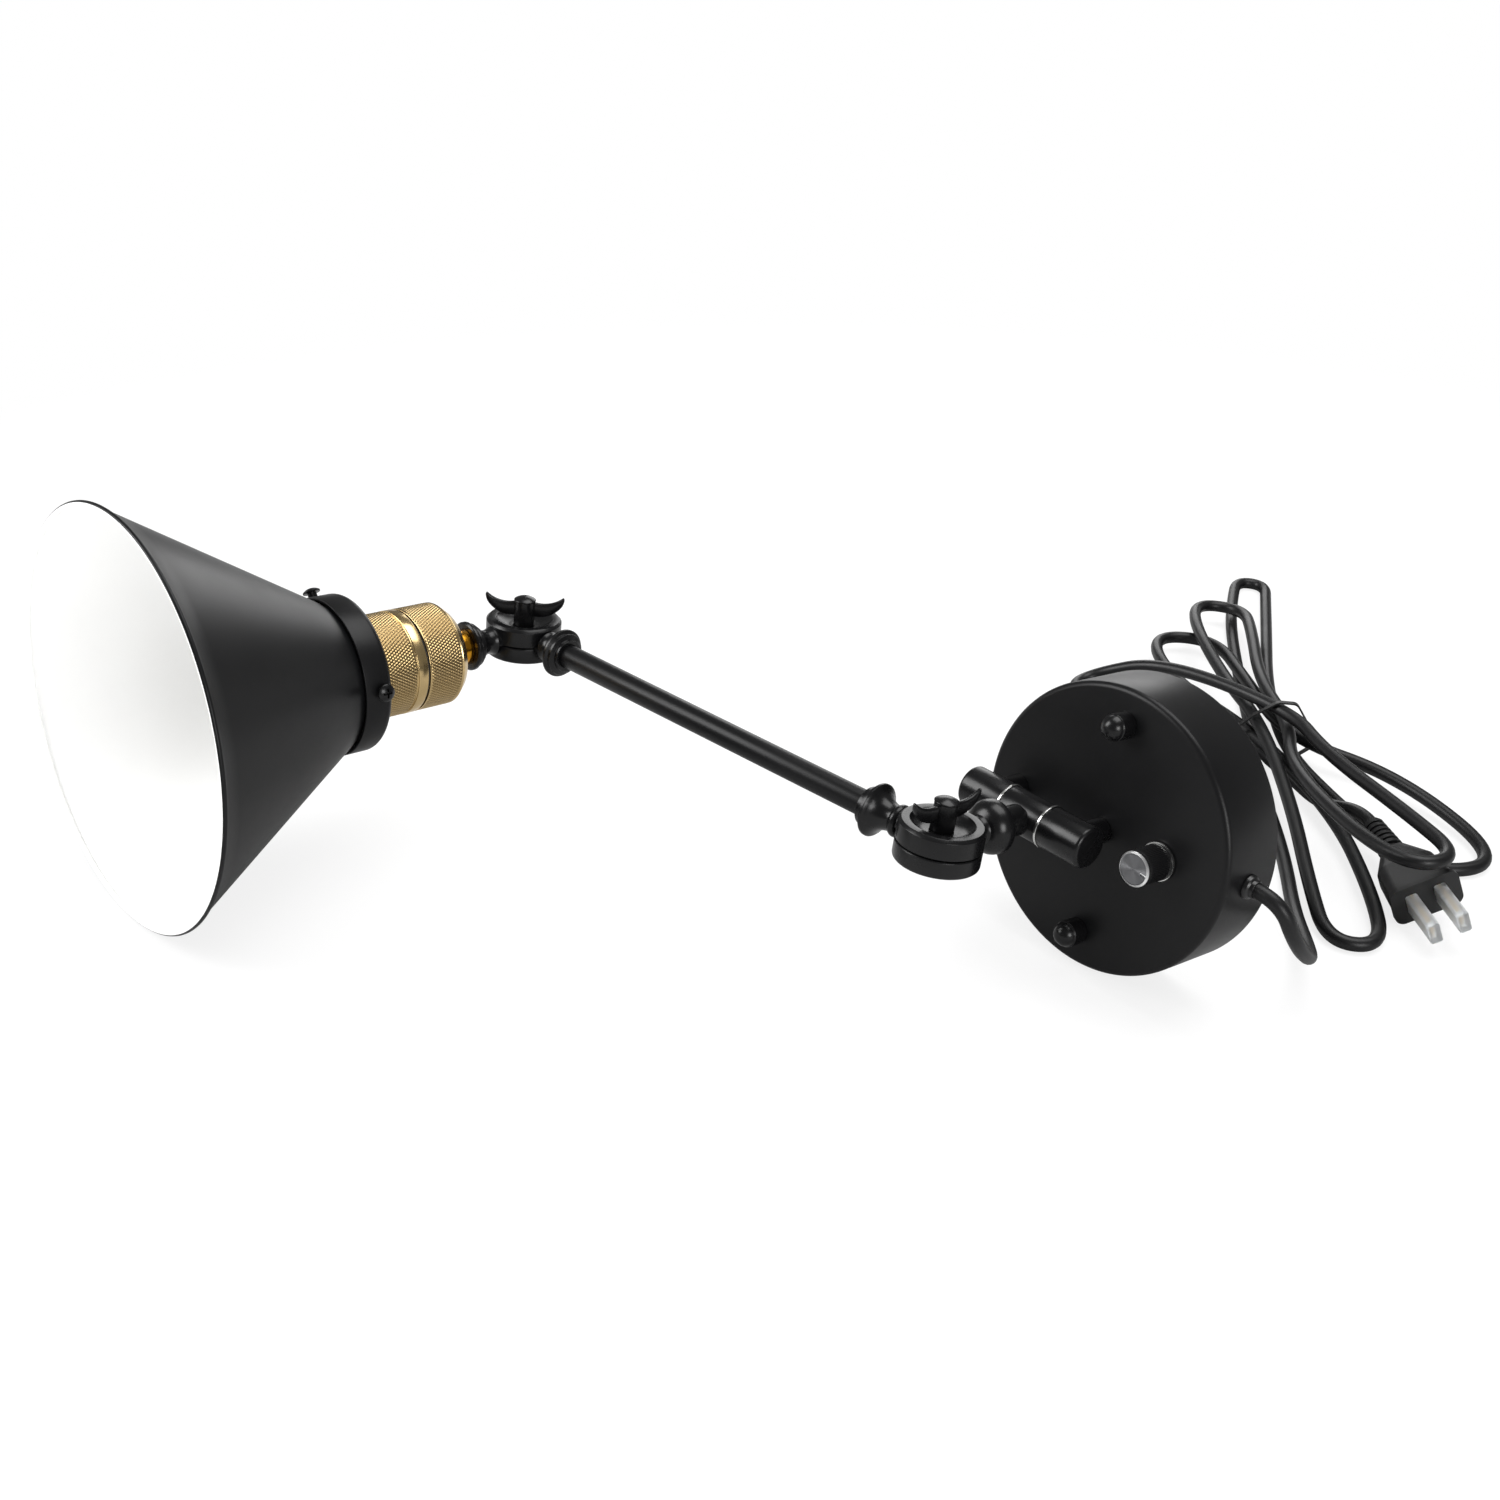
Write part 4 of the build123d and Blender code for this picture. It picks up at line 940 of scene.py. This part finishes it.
# Relief round a turned piece, in its own frame: crossed helices make the diamonds of a knurl,
# and with no lead they make straight flutes
def reliefTree():
    tree = bpy.data.node_groups.new("turnedRelief", "GeometryNodeTree")
    sockets = {}
    wanted = [
        ("Geometry", "INPUT", "NodeSocketGeometry"), ("Count", "INPUT", "NodeSocketFloat"),
        ("Lead", "INPUT", "NodeSocketFloat"), ("Depth", "INPUT", "NodeSocketFloat"),
        ("Material", "INPUT", "NodeSocketMaterial"), ("Geometry", "OUTPUT", "NodeSocketGeometry"),
    ]
    for name, side, kind in wanted:
        socket = tree.interface.new_socket(name=name, in_out=side, socket_type=kind)
        sockets[name, side] = socket.identifier
    source = addNode(tree, "NodeGroupInput")
    place = addNode(tree, "GeometryNodeInputPosition")
    parts = addNode(tree, "ShaderNodeSeparateXYZ", links={0: place.outputs[0]})
    angle = addNode(
        tree, "ShaderNodeMath", settings={"operation": "ARCTAN2"},
        links={0: parts.outputs["Y"], 1: parts.outputs["X"]}
    )
    share = addNode(
        tree, "ShaderNodeMath", settings={"operation": "DIVIDE"}, values={1: 2 * pi},
        links={0: angle.outputs[0]}
    )
    around = addNode(
        tree, "ShaderNodeMath", settings={"operation": "MULTIPLY"},
        links={0: share.outputs[0], 1: source.outputs["Count"]}
    )
    along = addNode(
        tree, "ShaderNodeMath", settings={"operation": "MULTIPLY"},
        links={0: parts.outputs["Z"], 1: source.outputs["Lead"]}
    )
    ridges = []
    for operation in ("ADD", "SUBTRACT"):
        phase = addNode(
            tree, "ShaderNodeMath", settings={"operation": operation},
            links={0: around.outputs[0], 1: along.outputs[0]}
        )
        ridge = addNode(
            tree, "ShaderNodeMath", settings={"operation": "PINGPONG"}, values={1: 0.5},
            links={0: phase.outputs[0]}
        )
        ridges.append(ridge)
    diamond = addNode(
        tree, "ShaderNodeMath", settings={"operation": "MINIMUM"},
        links={0: ridges[0].outputs[0], 1: ridges[1].outputs[0]}
    )
    mask = addNode(
        tree, "GeometryNodeInputNamedAttribute", settings={"data_type": "FLOAT"},
        values={"Name": "relief"}
    )
    masked = addNode(
        tree, "ShaderNodeMath", settings={"operation": "MULTIPLY"},
        links={0: diamond.outputs[0], 1: mask.outputs["Attribute"]}
    )
    rise = addNode(
        tree, "ShaderNodeMath", settings={"operation": "MULTIPLY"},
        links={0: masked.outputs[0], 1: source.outputs["Depth"]}
    )
    flat = addNode(
        tree, "ShaderNodeVectorMath", settings={"operation": "MULTIPLY"}, values={1: (1, 1, 0)},
        links={0: place.outputs[0]}
    )
    outward = addNode(
        tree, "ShaderNodeVectorMath", settings={"operation": "NORMALIZE"}, links={0: flat.outputs[0]}
    )
    offset = addNode(
        tree, "ShaderNodeVectorMath", settings={"operation": "SCALE"},
        links={0: outward.outputs[0], "Scale": rise.outputs[0]}
    )
    moved = addNode(
        tree, "GeometryNodeSetPosition",
        links={"Geometry": source.outputs["Geometry"], "Offset": offset.outputs[0]}
    )
    whole = addNode(tree, "GeometryNodeRealizeInstances", links={"Geometry": moved.outputs[0]})
    # The knurl's hollows, between the ridges, are stored for the material's painted shade
    hollowShade = addNode(
        tree, "ShaderNodeMapRange",
        values={"From Min": 0.0, "From Max": 0.32, "To Min": 1.0, "To Max": 0.0},
        links={"Value": diamond.outputs[0]},
    )
    hollowShadeShown = addNode(
        tree, "ShaderNodeMath", settings={"operation": "MULTIPLY"},
        links={0: hollowShade.outputs[0], 1: mask.outputs["Attribute"]}
    )
    marked = addNode(
        tree, "GeometryNodeStoreNamedAttribute", settings={"data_type": "FLOAT", "domain": "POINT"},
        values={"Name": "valleyShade"}, links={"Geometry": whole.outputs[0], "Value": hollowShadeShown.outputs[0]},
    )
    painted = addNode(
        tree, "GeometryNodeSetMaterial",
        links={"Geometry": marked.outputs[0], "Material": source.outputs["Material"]}
    )
    addNode(tree, "NodeGroupOutput", links={"Geometry": painted.outputs[0]})
    return tree, sockets


reliefNodes, reliefSockets = reliefTree()


# A profile with extra rows over the stretch that carries relief
def withRows(profile, relief):
    low = relief["low"]
    high = relief["high"]
    marks = [low + relief["fade"], high - relief["fade"]]
    many = max(1, round((marks[1] - marks[0]) / relief["step"]))
    marks = [marks[0] + (marks[1] - marks[0]) * i / many for i in range(many + 1)]
    rows = []
    for index, (r, z) in enumerate(profile):
        rows.append((r, z))
        r2, z2 = profile[(index + 1) % len(profile)]
        onSkin = abs(r - relief["radiusAt"](z)) < 0.06 and abs(r2 - relief["radiusAt"](z2)) < 0.06
        if onSkin and min(z, z2) < low + 0.5 and max(z, z2) > high - 0.5:
            ordered = marks if z < z2 else marks[::-1]
            rows += [(relief["radiusAt"](mark), mark) for mark in ordered]
    return rows


def reliefPiece(name, profile, relief, place, body, stands, look):
    shape = bmesh.new()
    turnInto(shape, withRows(profile, relief), relief["segments"])
    mesh = finishMesh(name, shape, 60)
    marks = mesh.attributes.new("relief", "FLOAT", "POINT")
    for vertex in mesh.vertices:
        x, y, z = (1000 * value for value in vertex.co)
        outer = sqrt(x * x + y * y)
        onSkin = abs(outer - relief["radiusAt"](z)) < 0.08
        fade = min(1.0, max(0.0, min(z - relief["low"], relief["high"] - z) / relief["fade"]))
        marks.data[vertex.index].value = fade if onSkin else 0.0
    raw = bpy.data.objects.new(name + "Raw", mesh)
    scene.collection.objects.link(raw)
    modifier = raw.modifiers.new("relief", "NODES")
    modifier.node_group = reliefNodes
    modifier[reliefSockets["Count", "INPUT"]] = float(relief["count"])
    modifier[reliefSockets["Lead", "INPUT"]] = float(relief["lead"])
    modifier[reliefSockets["Depth", "INPUT"]] = relief["depth"] / 1000 * 2
    modifier[reliefSockets["Material", "INPUT"]] = materials[look]
    evaluated = raw.evaluated_get(bpy.context.evaluated_depsgraph_get())
    made = bpy.data.meshes.new_from_object(evaluated)
    made.name = name
    raw.modifiers.clear()
    bpy.data.objects.remove(raw)
    placePiece(name, made, place, body, stands, [look])


def makeSocket():
    s = socketLook
    outer = s["radius"]
    inner = outer - s["wall"]
    rear = s["capRear"]
    front = s["capFront"]
    start = front + s["gasket"]
    shoulder = outer - s["shoulderDrop"]
    step = s["knurlLength"] / s["rowsPerKnurl"]
    lead = 1000 / s["knurlLength"]
    segments = s["knurlCount"] * s["segmentsPerKnurl"]
    nipple = [
        (0, s["nippleStart"]), (s["nippleRadius"], s["nippleStart"]), (s["nippleRadius"], rear), (0, rear)
    ]
    turnedPiece(
        "brassNipple", [(nipple, None)],
        headFrame, "head", ["brass_nipple"], "polishedBrass", 96, 0.5,
    )
    cut = outer - s["knurlDepth"]
    capProfile = softened(
        [
            (0, rear), (shoulder, rear), (outer - 0.05, rear + s["shoulder"]),
            (cut, rear + s["shoulder"] + 0.6),
            (cut, front - 0.9), (outer - 0.05, front - 0.5), (outer - 0.05, front), (inner, front),
            (inner, rear + s["shoulder"]), (shoulder - 0.6, rear + s["wall"]), (0, rear + s["wall"]),
        ],
        0.25, [((shoulder, rear), 0.8)],
    )
    reliefPiece(
        "socketCap", capProfile,
        {
            "low": rear + s["shoulder"] + 0.6, "high": front - 0.9, "radiusAt": lambda z: cut,
            "step": step, "segments": segments, "fade": 0.4, "count": s["knurlCount"], "lead": lead,
            "depth": s["knurlDepth"],
        },
        headFrame, "head", ["socket_cap"], "lacqueredBrass",
    )
    band = start + s["band"]
    groove = outer - 0.5
    lipFace = s["collarRear"]
    shellProfile = softened(
        [
            (inner, start), (outer, start), (outer, band), (groove, band), (groove, band + s["groove"]),
            (cut, band + s["groove"] + 0.3), (cut, lipFace - 0.4), (outer - 0.3, lipFace),
            (s["lip"], lipFace), (s["lip"], lipFace - 1.0), (inner, lipFace - 1.0),
        ],
        0.15, [((outer, start), 0.4)],
    )
    reliefPiece(
        "socketShell", shellProfile,
        {
            "low": band + s["groove"] + 0.3, "high": lipFace - 0.4, "radiusAt": lambda z: cut,
            "step": step, "segments": segments, "fade": 0.4, "count": s["knurlCount"], "lead": lead,
            "depth": s["knurlDepth"],
        },
        headFrame, "head", ["socket_shell"], "lacqueredBrass",
    )


makeSocket()
print("socket made")

collarLook = {
    "outer": 34.3, "wall": 1.2, "rear": 90.3, "front": 103.3, "hole": 19.1, "shoulder": 3.0,
    "screwReach": 95.9,
    "screwAngle": 8.7, "screwCount": 3, "screwRadius": 2.0, "screwHead": 3.8, "standOff": 2.8,
    "neck": 29.8,
}


def makeCollar():
    c = collarLook
    inner = c["outer"] - c["wall"]
    profile = [
        (c["hole"], c["rear"]), (c["outer"], c["rear"]), (c["outer"], c["front"]), (inner, c["front"])
    ]
    profile += [(inner, c["rear"] + c["wall"]), (c["hole"], c["rear"] + c["wall"])]
    special = [
        ((c["outer"], c["rear"]), c["shoulder"]),
        ((inner, c["rear"] + c["wall"]), c["shoulder"] - c["wall"])
    ]
    turnedPiece(
        "shadeCollar", [(profile, None)], headFrame, "head", ["shade_collar"],
        "satinBlackPowderCoat", 192, 0.25, special,
    )


# Pan-head screws with a cross recess
def makeCollarScrews():
    c = collarLook
    under = c["outer"] + c["standOff"]
    crown = under + 2.1
    shank = c["screwRadius"]
    head = c["screwHead"]
    profile = [
        (0, c["neck"]), (shank - 0.6, c["neck"]), (shank, c["neck"] + 0.6), (shank, under), (head, under)
    ]
    profile += [(head, under + 0.7), ("arc", domeMiddle(head, under + 0.7, crown), (0, crown))]
    shape = bmesh.new()
    turnInto(shape, softened(profile, 0.15), 48)
    screw = bpy.data.objects.new("collarScrewRaw", finishMesh("collarScrewRaw", shape))
    scene.collection.objects.link(screw)
    cross = bmesh.new()
    for turn in (0, 90):
        place = turnedBy(turn, "Z") @ shifted(0, 0, crown) @ Matrix.Diagonal(
            (0.0042, 0.0009, 0.0026, 1.0)
        )
        bmesh.ops.create_cube(cross, size=1.0, matrix=place)
    tool = bpy.data.objects.new("crossTool", finishMesh("crossTool", cross))
    scene.collection.objects.link(tool)
    cutter = screw.modifiers.new("recess", "BOOLEAN")
    cutter.object = tool
    cutter.operation = "DIFFERENCE"
    cutter.solver = "EXACT"
    cutter.use_self = True
    made = bpy.data.meshes.new_from_object(screw.evaluated_get(bpy.context.evaluated_depsgraph_get()))
    shape = bmesh.new()
    step = 360 / c["screwCount"]
    for index in range(c["screwCount"]):
        copy = made.copy()
        turn = turnedBy(c["screwAngle"] + index * step, "Z")
        copy.transform(shifted(0, 0, c["screwReach"]) @ turn @ sideways)
        shape.from_mesh(copy)
        bpy.data.meshes.remove(copy)
    bpy.data.objects.remove(screw)
    bpy.data.objects.remove(tool)
    placePiece(
        "collarScrews", finishMesh("collarScrews", shape, 30), headFrame, "head",
        ["collar_screws"], ["semiGlossBlackPaint"],
    )


makeCollar()
makeCollarScrews()

# Shade: one spun cone with a short neck and a rolled rim, black outside and white inside
shadeLook = {
    "neck": 29.8, "rear": 93.5, "neckLength": 5.4, "rim": 87.8, "end": 195.1, "wall": 0.8, "lip": 1.1,
    "segments": 320, "lipStart": 2, "whiteFrom": 65,
}


def makeShade():
    s = shadeLook
    rim = s["rim"] - s["lip"]
    end = s["end"] - s["lip"]
    flare = s["rear"] + s["neckLength"]
    slope = (rim - s["neck"]) / (end - flare)
    side = s["wall"] * sqrt(1 + slope**2)
    centre = rim - side / 2
    outside = [(s["neck"], s["rear"]), (s["neck"], flare)]
    rows = 14
    reach = end - s["lipStart"] - flare
    outside += [
        (s["neck"] + slope * reach * i / rows, flare + reach * i / rows) for i in range(1, rows + 1)
    ]
    lip = []
    owners = [0] * len(outside)
    for turn in range(-50, 231, 20):
        lip.append((centre + s["lip"] * cos(radians(turn)), end + s["lip"] * sin(radians(turn))))
        owners.append(1 if turn > s["whiteFrom"] else 0)
    innerFlare = flare + (side - s["wall"]) / slope
    inside = []
    for i in range(rows + 1):
        z = end - s["lipStart"] - (end - s["lipStart"] - innerFlare) * i / rows
        inside.append((s["neck"] - s["wall"] + slope * (z - innerFlare), z))
    inside.append((s["neck"] - s["wall"], s["rear"]))
    owners += [1] * (len(inside) - 1) + [0]
    shape = bmesh.new()
    turnInto(shape, outside + lip + inside, s["segments"], None, owners)
    placePiece(
        "coneShade", finishMesh("coneShade", shape, 50), headFrame, "head",
        ["lamp_shade"], ["satinBlackPowderCoat", "whiteShadeEnamel"],
    )


makeShade()
print("head made")

# Dimmer knob: fluted plastic, under the spun face that the CAD gives
knobLook = {
    "base": 7.4, "top": 7.1, "lift": 0.8, "height": 16.5, "cap": 1.0, "flutes": 60, "fluteDepth": 0.2
}


def makeKnob():
    k = knobLook
    end = k["height"] - k["cap"]
    cut = k["fluteDepth"]
    taper = (k["base"] - k["top"]) / (end - k["lift"])

    def skin(z):
        return k["base"] - cut - taper * (z - k["lift"])

    profile = [
        (5.9, k["lift"]), (k["base"], k["lift"]), (k["base"], k["lift"] + 1.0),
        (skin(k["lift"] + 1.3), k["lift"] + 1.3),
        (skin(end - 0.5), end - 0.5), (k["top"] - 0.1, end), (0, end), (0, end - 2.0), (3.0, end - 2.0),
        (3.0, 4.0), (5.9, 4.0),
    ]
    reliefPiece(
        "dimmerKnob", profile,
        {
            "low": k["lift"] + 1.3, "high": end - 0.5, "radiusAt": skin, "step": 2.0,
            "segments": 320, "fade": 0.3, "count": k["flutes"], "lead": 0.0, "depth": cut,
        },
        knobFrame, "knob", ["dimmer_knob"], "mouldedPlastic",
    )


makeKnob()

# Grommet where the cord leaves the canopy
grommetLook = {"flange": 5.2, "height": 1.8, "neck": 4.3, "reach": 4.0, "bore": 3.2}


def makeGrommet():
    g = grommetLook
    profile = [
        (g["bore"], -4.4), (g["neck"] - 0.6, -4.4), (g["neck"] + 0.8, -1.8), (g["neck"] + 0.8, -1.4),
        (g["neck"], -1.4)
    ]
    profile += [
        (g["neck"], 0), (g["flange"], 0), (g["flange"] - 0.6, g["height"]),
        (g["neck"] - 0.5, g["height"] + 0.6)
    ]
    profile += [(g["bore"] + 0.5, g["reach"]), (g["bore"], g["reach"])]
    turnedPiece(
        "cordGrommet", [(profile, None)], grommetFrame, "base", ["cord_grommet"],
        "mouldedPlastic", 64, 0.3
    )


makeGrommet()

# CAD nodes that keep their own mesh get their finish here
nodeLooks = {
    "mounting_bracket": "zincPlate", "bracket_studs": "zincPlate", "stud_lock_nuts": "zincPlate",
    "post_screw_left": "zincPlate", "post_screw_right": "zincPlate", "swivel_pin": "zincPlate",
    "knuckle_1_friction_washer": "pressedFibre", "knuckle_2_friction_washer": "pressedFibre",
    "knuckle_1_nut": "zincPlate", "knuckle_2_nut": "zincPlate", "socket_gasket": "pressedFibre",
    "socket_insulator": "glazedPorcelain", "screw_shell": "rolledBrassSheet",
    "centre_contact": "rolledBrassSheet",
    "shade_ring": "glazedPorcelain", "dimmer_body": "mouldedPlastic", "dimmer_nut": "zincPlate",
    "dimmer_shaft": "mouldedPlastic", "knob_cap": "spunAluminium", "knob_ring": "machinedSteel",
    "plug_body": "mouldedVinyl", "plug_blades": "rolledBrassSheet",
    "blade_covers": "naturalPolypropylene", "cord_tie": "blackTieFilm",
}
for name, look in nodeLooks.items():
    mesh = frame["nodes"][name].data
    mesh.materials.clear()
    mesh.materials.append(materials[look])


# Studio: the floor and the surround read white to the camera and dim in reflections, and the
# floor keeps a soft shadow near the lamp
studioLook = {
    "reach": 5.0, "surround": 0.55, "mirrored": 0.2, "shadowShare": 0.22, "shadowNear": 0.35,
    "shadowFar": 0.9
}


def seenRays(tree):
    path = addNode(tree, "ShaderNodeLightPath")
    return path, addNode(
        tree, "ShaderNodeMath", settings={"operation": "MAXIMUM"},
        links={0: path.outputs["Is Camera Ray"], 1: path.outputs["Is Transmission Ray"]},
    )


def floorMaterial():
    material = bpy.data.materials.new("paleFloor")
    material.use_nodes = True
    tree = material.node_tree
    tree.nodes.clear()
    output = addNode(tree, "ShaderNodeOutputMaterial")
    path, seen = seenRays(tree)
    place = addNode(tree, "ShaderNodeTexCoord")
    away = addNode(
        tree, "ShaderNodeVectorMath", settings={"operation": "LENGTH"}, links={0: place.outputs["Object"]}
    )
    white = addNode(
        tree, "ShaderNodeMapRange",
        values={
            "From Min": studioLook["shadowNear"], "From Max": studioLook["shadowFar"],
            "To Min": 1 - studioLook["shadowShare"], "To Max": 1.0,
        },
        links={"Value": away.outputs["Value"]},
    )
    share = addNode(
        tree, "ShaderNodeMath", settings={"operation": "MULTIPLY"},
        links={0: seen.outputs[0], 1: white.outputs[0]}
    )
    paint = addNode(
        tree, "ShaderNodeMix", settings={"data_type": "RGBA"},
        values={"A": linear("F4F4F4"), "B": linear("B4B4B4")},
        links={"Factor": path.outputs["Is Glossy Ray"]},
    )
    plain = addNode(tree, "ShaderNodeBsdfDiffuse", links={"Color": paint.outputs["Result"]})
    glow = addNode(tree, "ShaderNodeEmission", values={"Color": (1, 1, 1, 1), "Strength": 1.0})
    mixed = addNode(
        tree, "ShaderNodeMixShader", links={0: share.outputs[0], 1: plain.outputs[0], 2: glow.outputs[0]}
    )
    tree.links.new(mixed.outputs[0], output.inputs[0])
    return material


def makeStudio():
    reach = studioLook["reach"]
    low = table / 1000
    data = bpy.data.meshes.new("studioFloor")
    corners = [(-reach, -reach, low), (reach, -reach, low), (reach, reach, low), (-reach, reach, low)]
    data.from_pydata(corners, [], [(0, 1, 2, 3)])
    data.materials.append(floorMaterial())
    floor = bpy.data.objects.new("studioFloor", data)
    scene.collection.objects.link(floor)
    world = bpy.data.worlds.new("studioWorld")
    world.use_nodes = True
    tree = world.node_tree
    tree.nodes.clear()
    output = addNode(tree, "ShaderNodeOutputWorld")
    path, seen = seenRays(tree)
    dimmed = addNode(
        tree, "ShaderNodeMix", settings={"data_type": "FLOAT"},
        values={2: studioLook["surround"], 3: studioLook["mirrored"]},
        links={0: path.outputs["Is Glossy Ray"]},
    )
    level = addNode(
        tree, "ShaderNodeMix", settings={"data_type": "FLOAT"}, values={3: 1.0},
        links={0: seen.outputs[0], 2: dimmed.outputs[0]},
    )
    sky = addNode(
        tree, "ShaderNodeBackground", values={"Color": (1, 1, 1, 1)}, links={"Strength": level.outputs[0]}
    )
    tree.links.new(sky.outputs[0], output.inputs[0])
    scene.world = world


lamps = [
    {"name": "keySoftbox", "place": (-1.3, -1.5, 1.3), "size": 1.1, "power": 34.0},
    {"name": "sideSoftbox", "place": (1.7, -0.5, 0.7), "size": 0.8, "power": 20.0},
    {"name": "lowSoftbox", "place": (-1.25, -1.35, 0.42), "size": 0.7, "power": 9.0},
    {"name": "backSoftbox", "place": (-1.3, 1.3, 0.5), "size": 0.9, "power": 7.0},
    {"name": "topSoftbox", "place": (-0.1, 0.5, 1.7), "size": 1.3, "power": 26.0},
]


def makeLamps():
    target = Vector((-0.08, -0.05, 0.0))
    for lamp in lamps:
        data = bpy.data.lights.new(lamp["name"], "AREA")
        data.shape = "SQUARE"
        data.size = lamp["size"]
        data.energy = lamp["power"]
        shown = bpy.data.objects.new(lamp["name"], data)
        shown.location = lamp["place"]
        aim = target - Vector(lamp["place"])
        shown.rotation_euler = aim.to_track_quat("-Z", "Y").to_euler()
        scene.collection.objects.link(shown)


makeStudio()
makeLamps()
print("studio made")
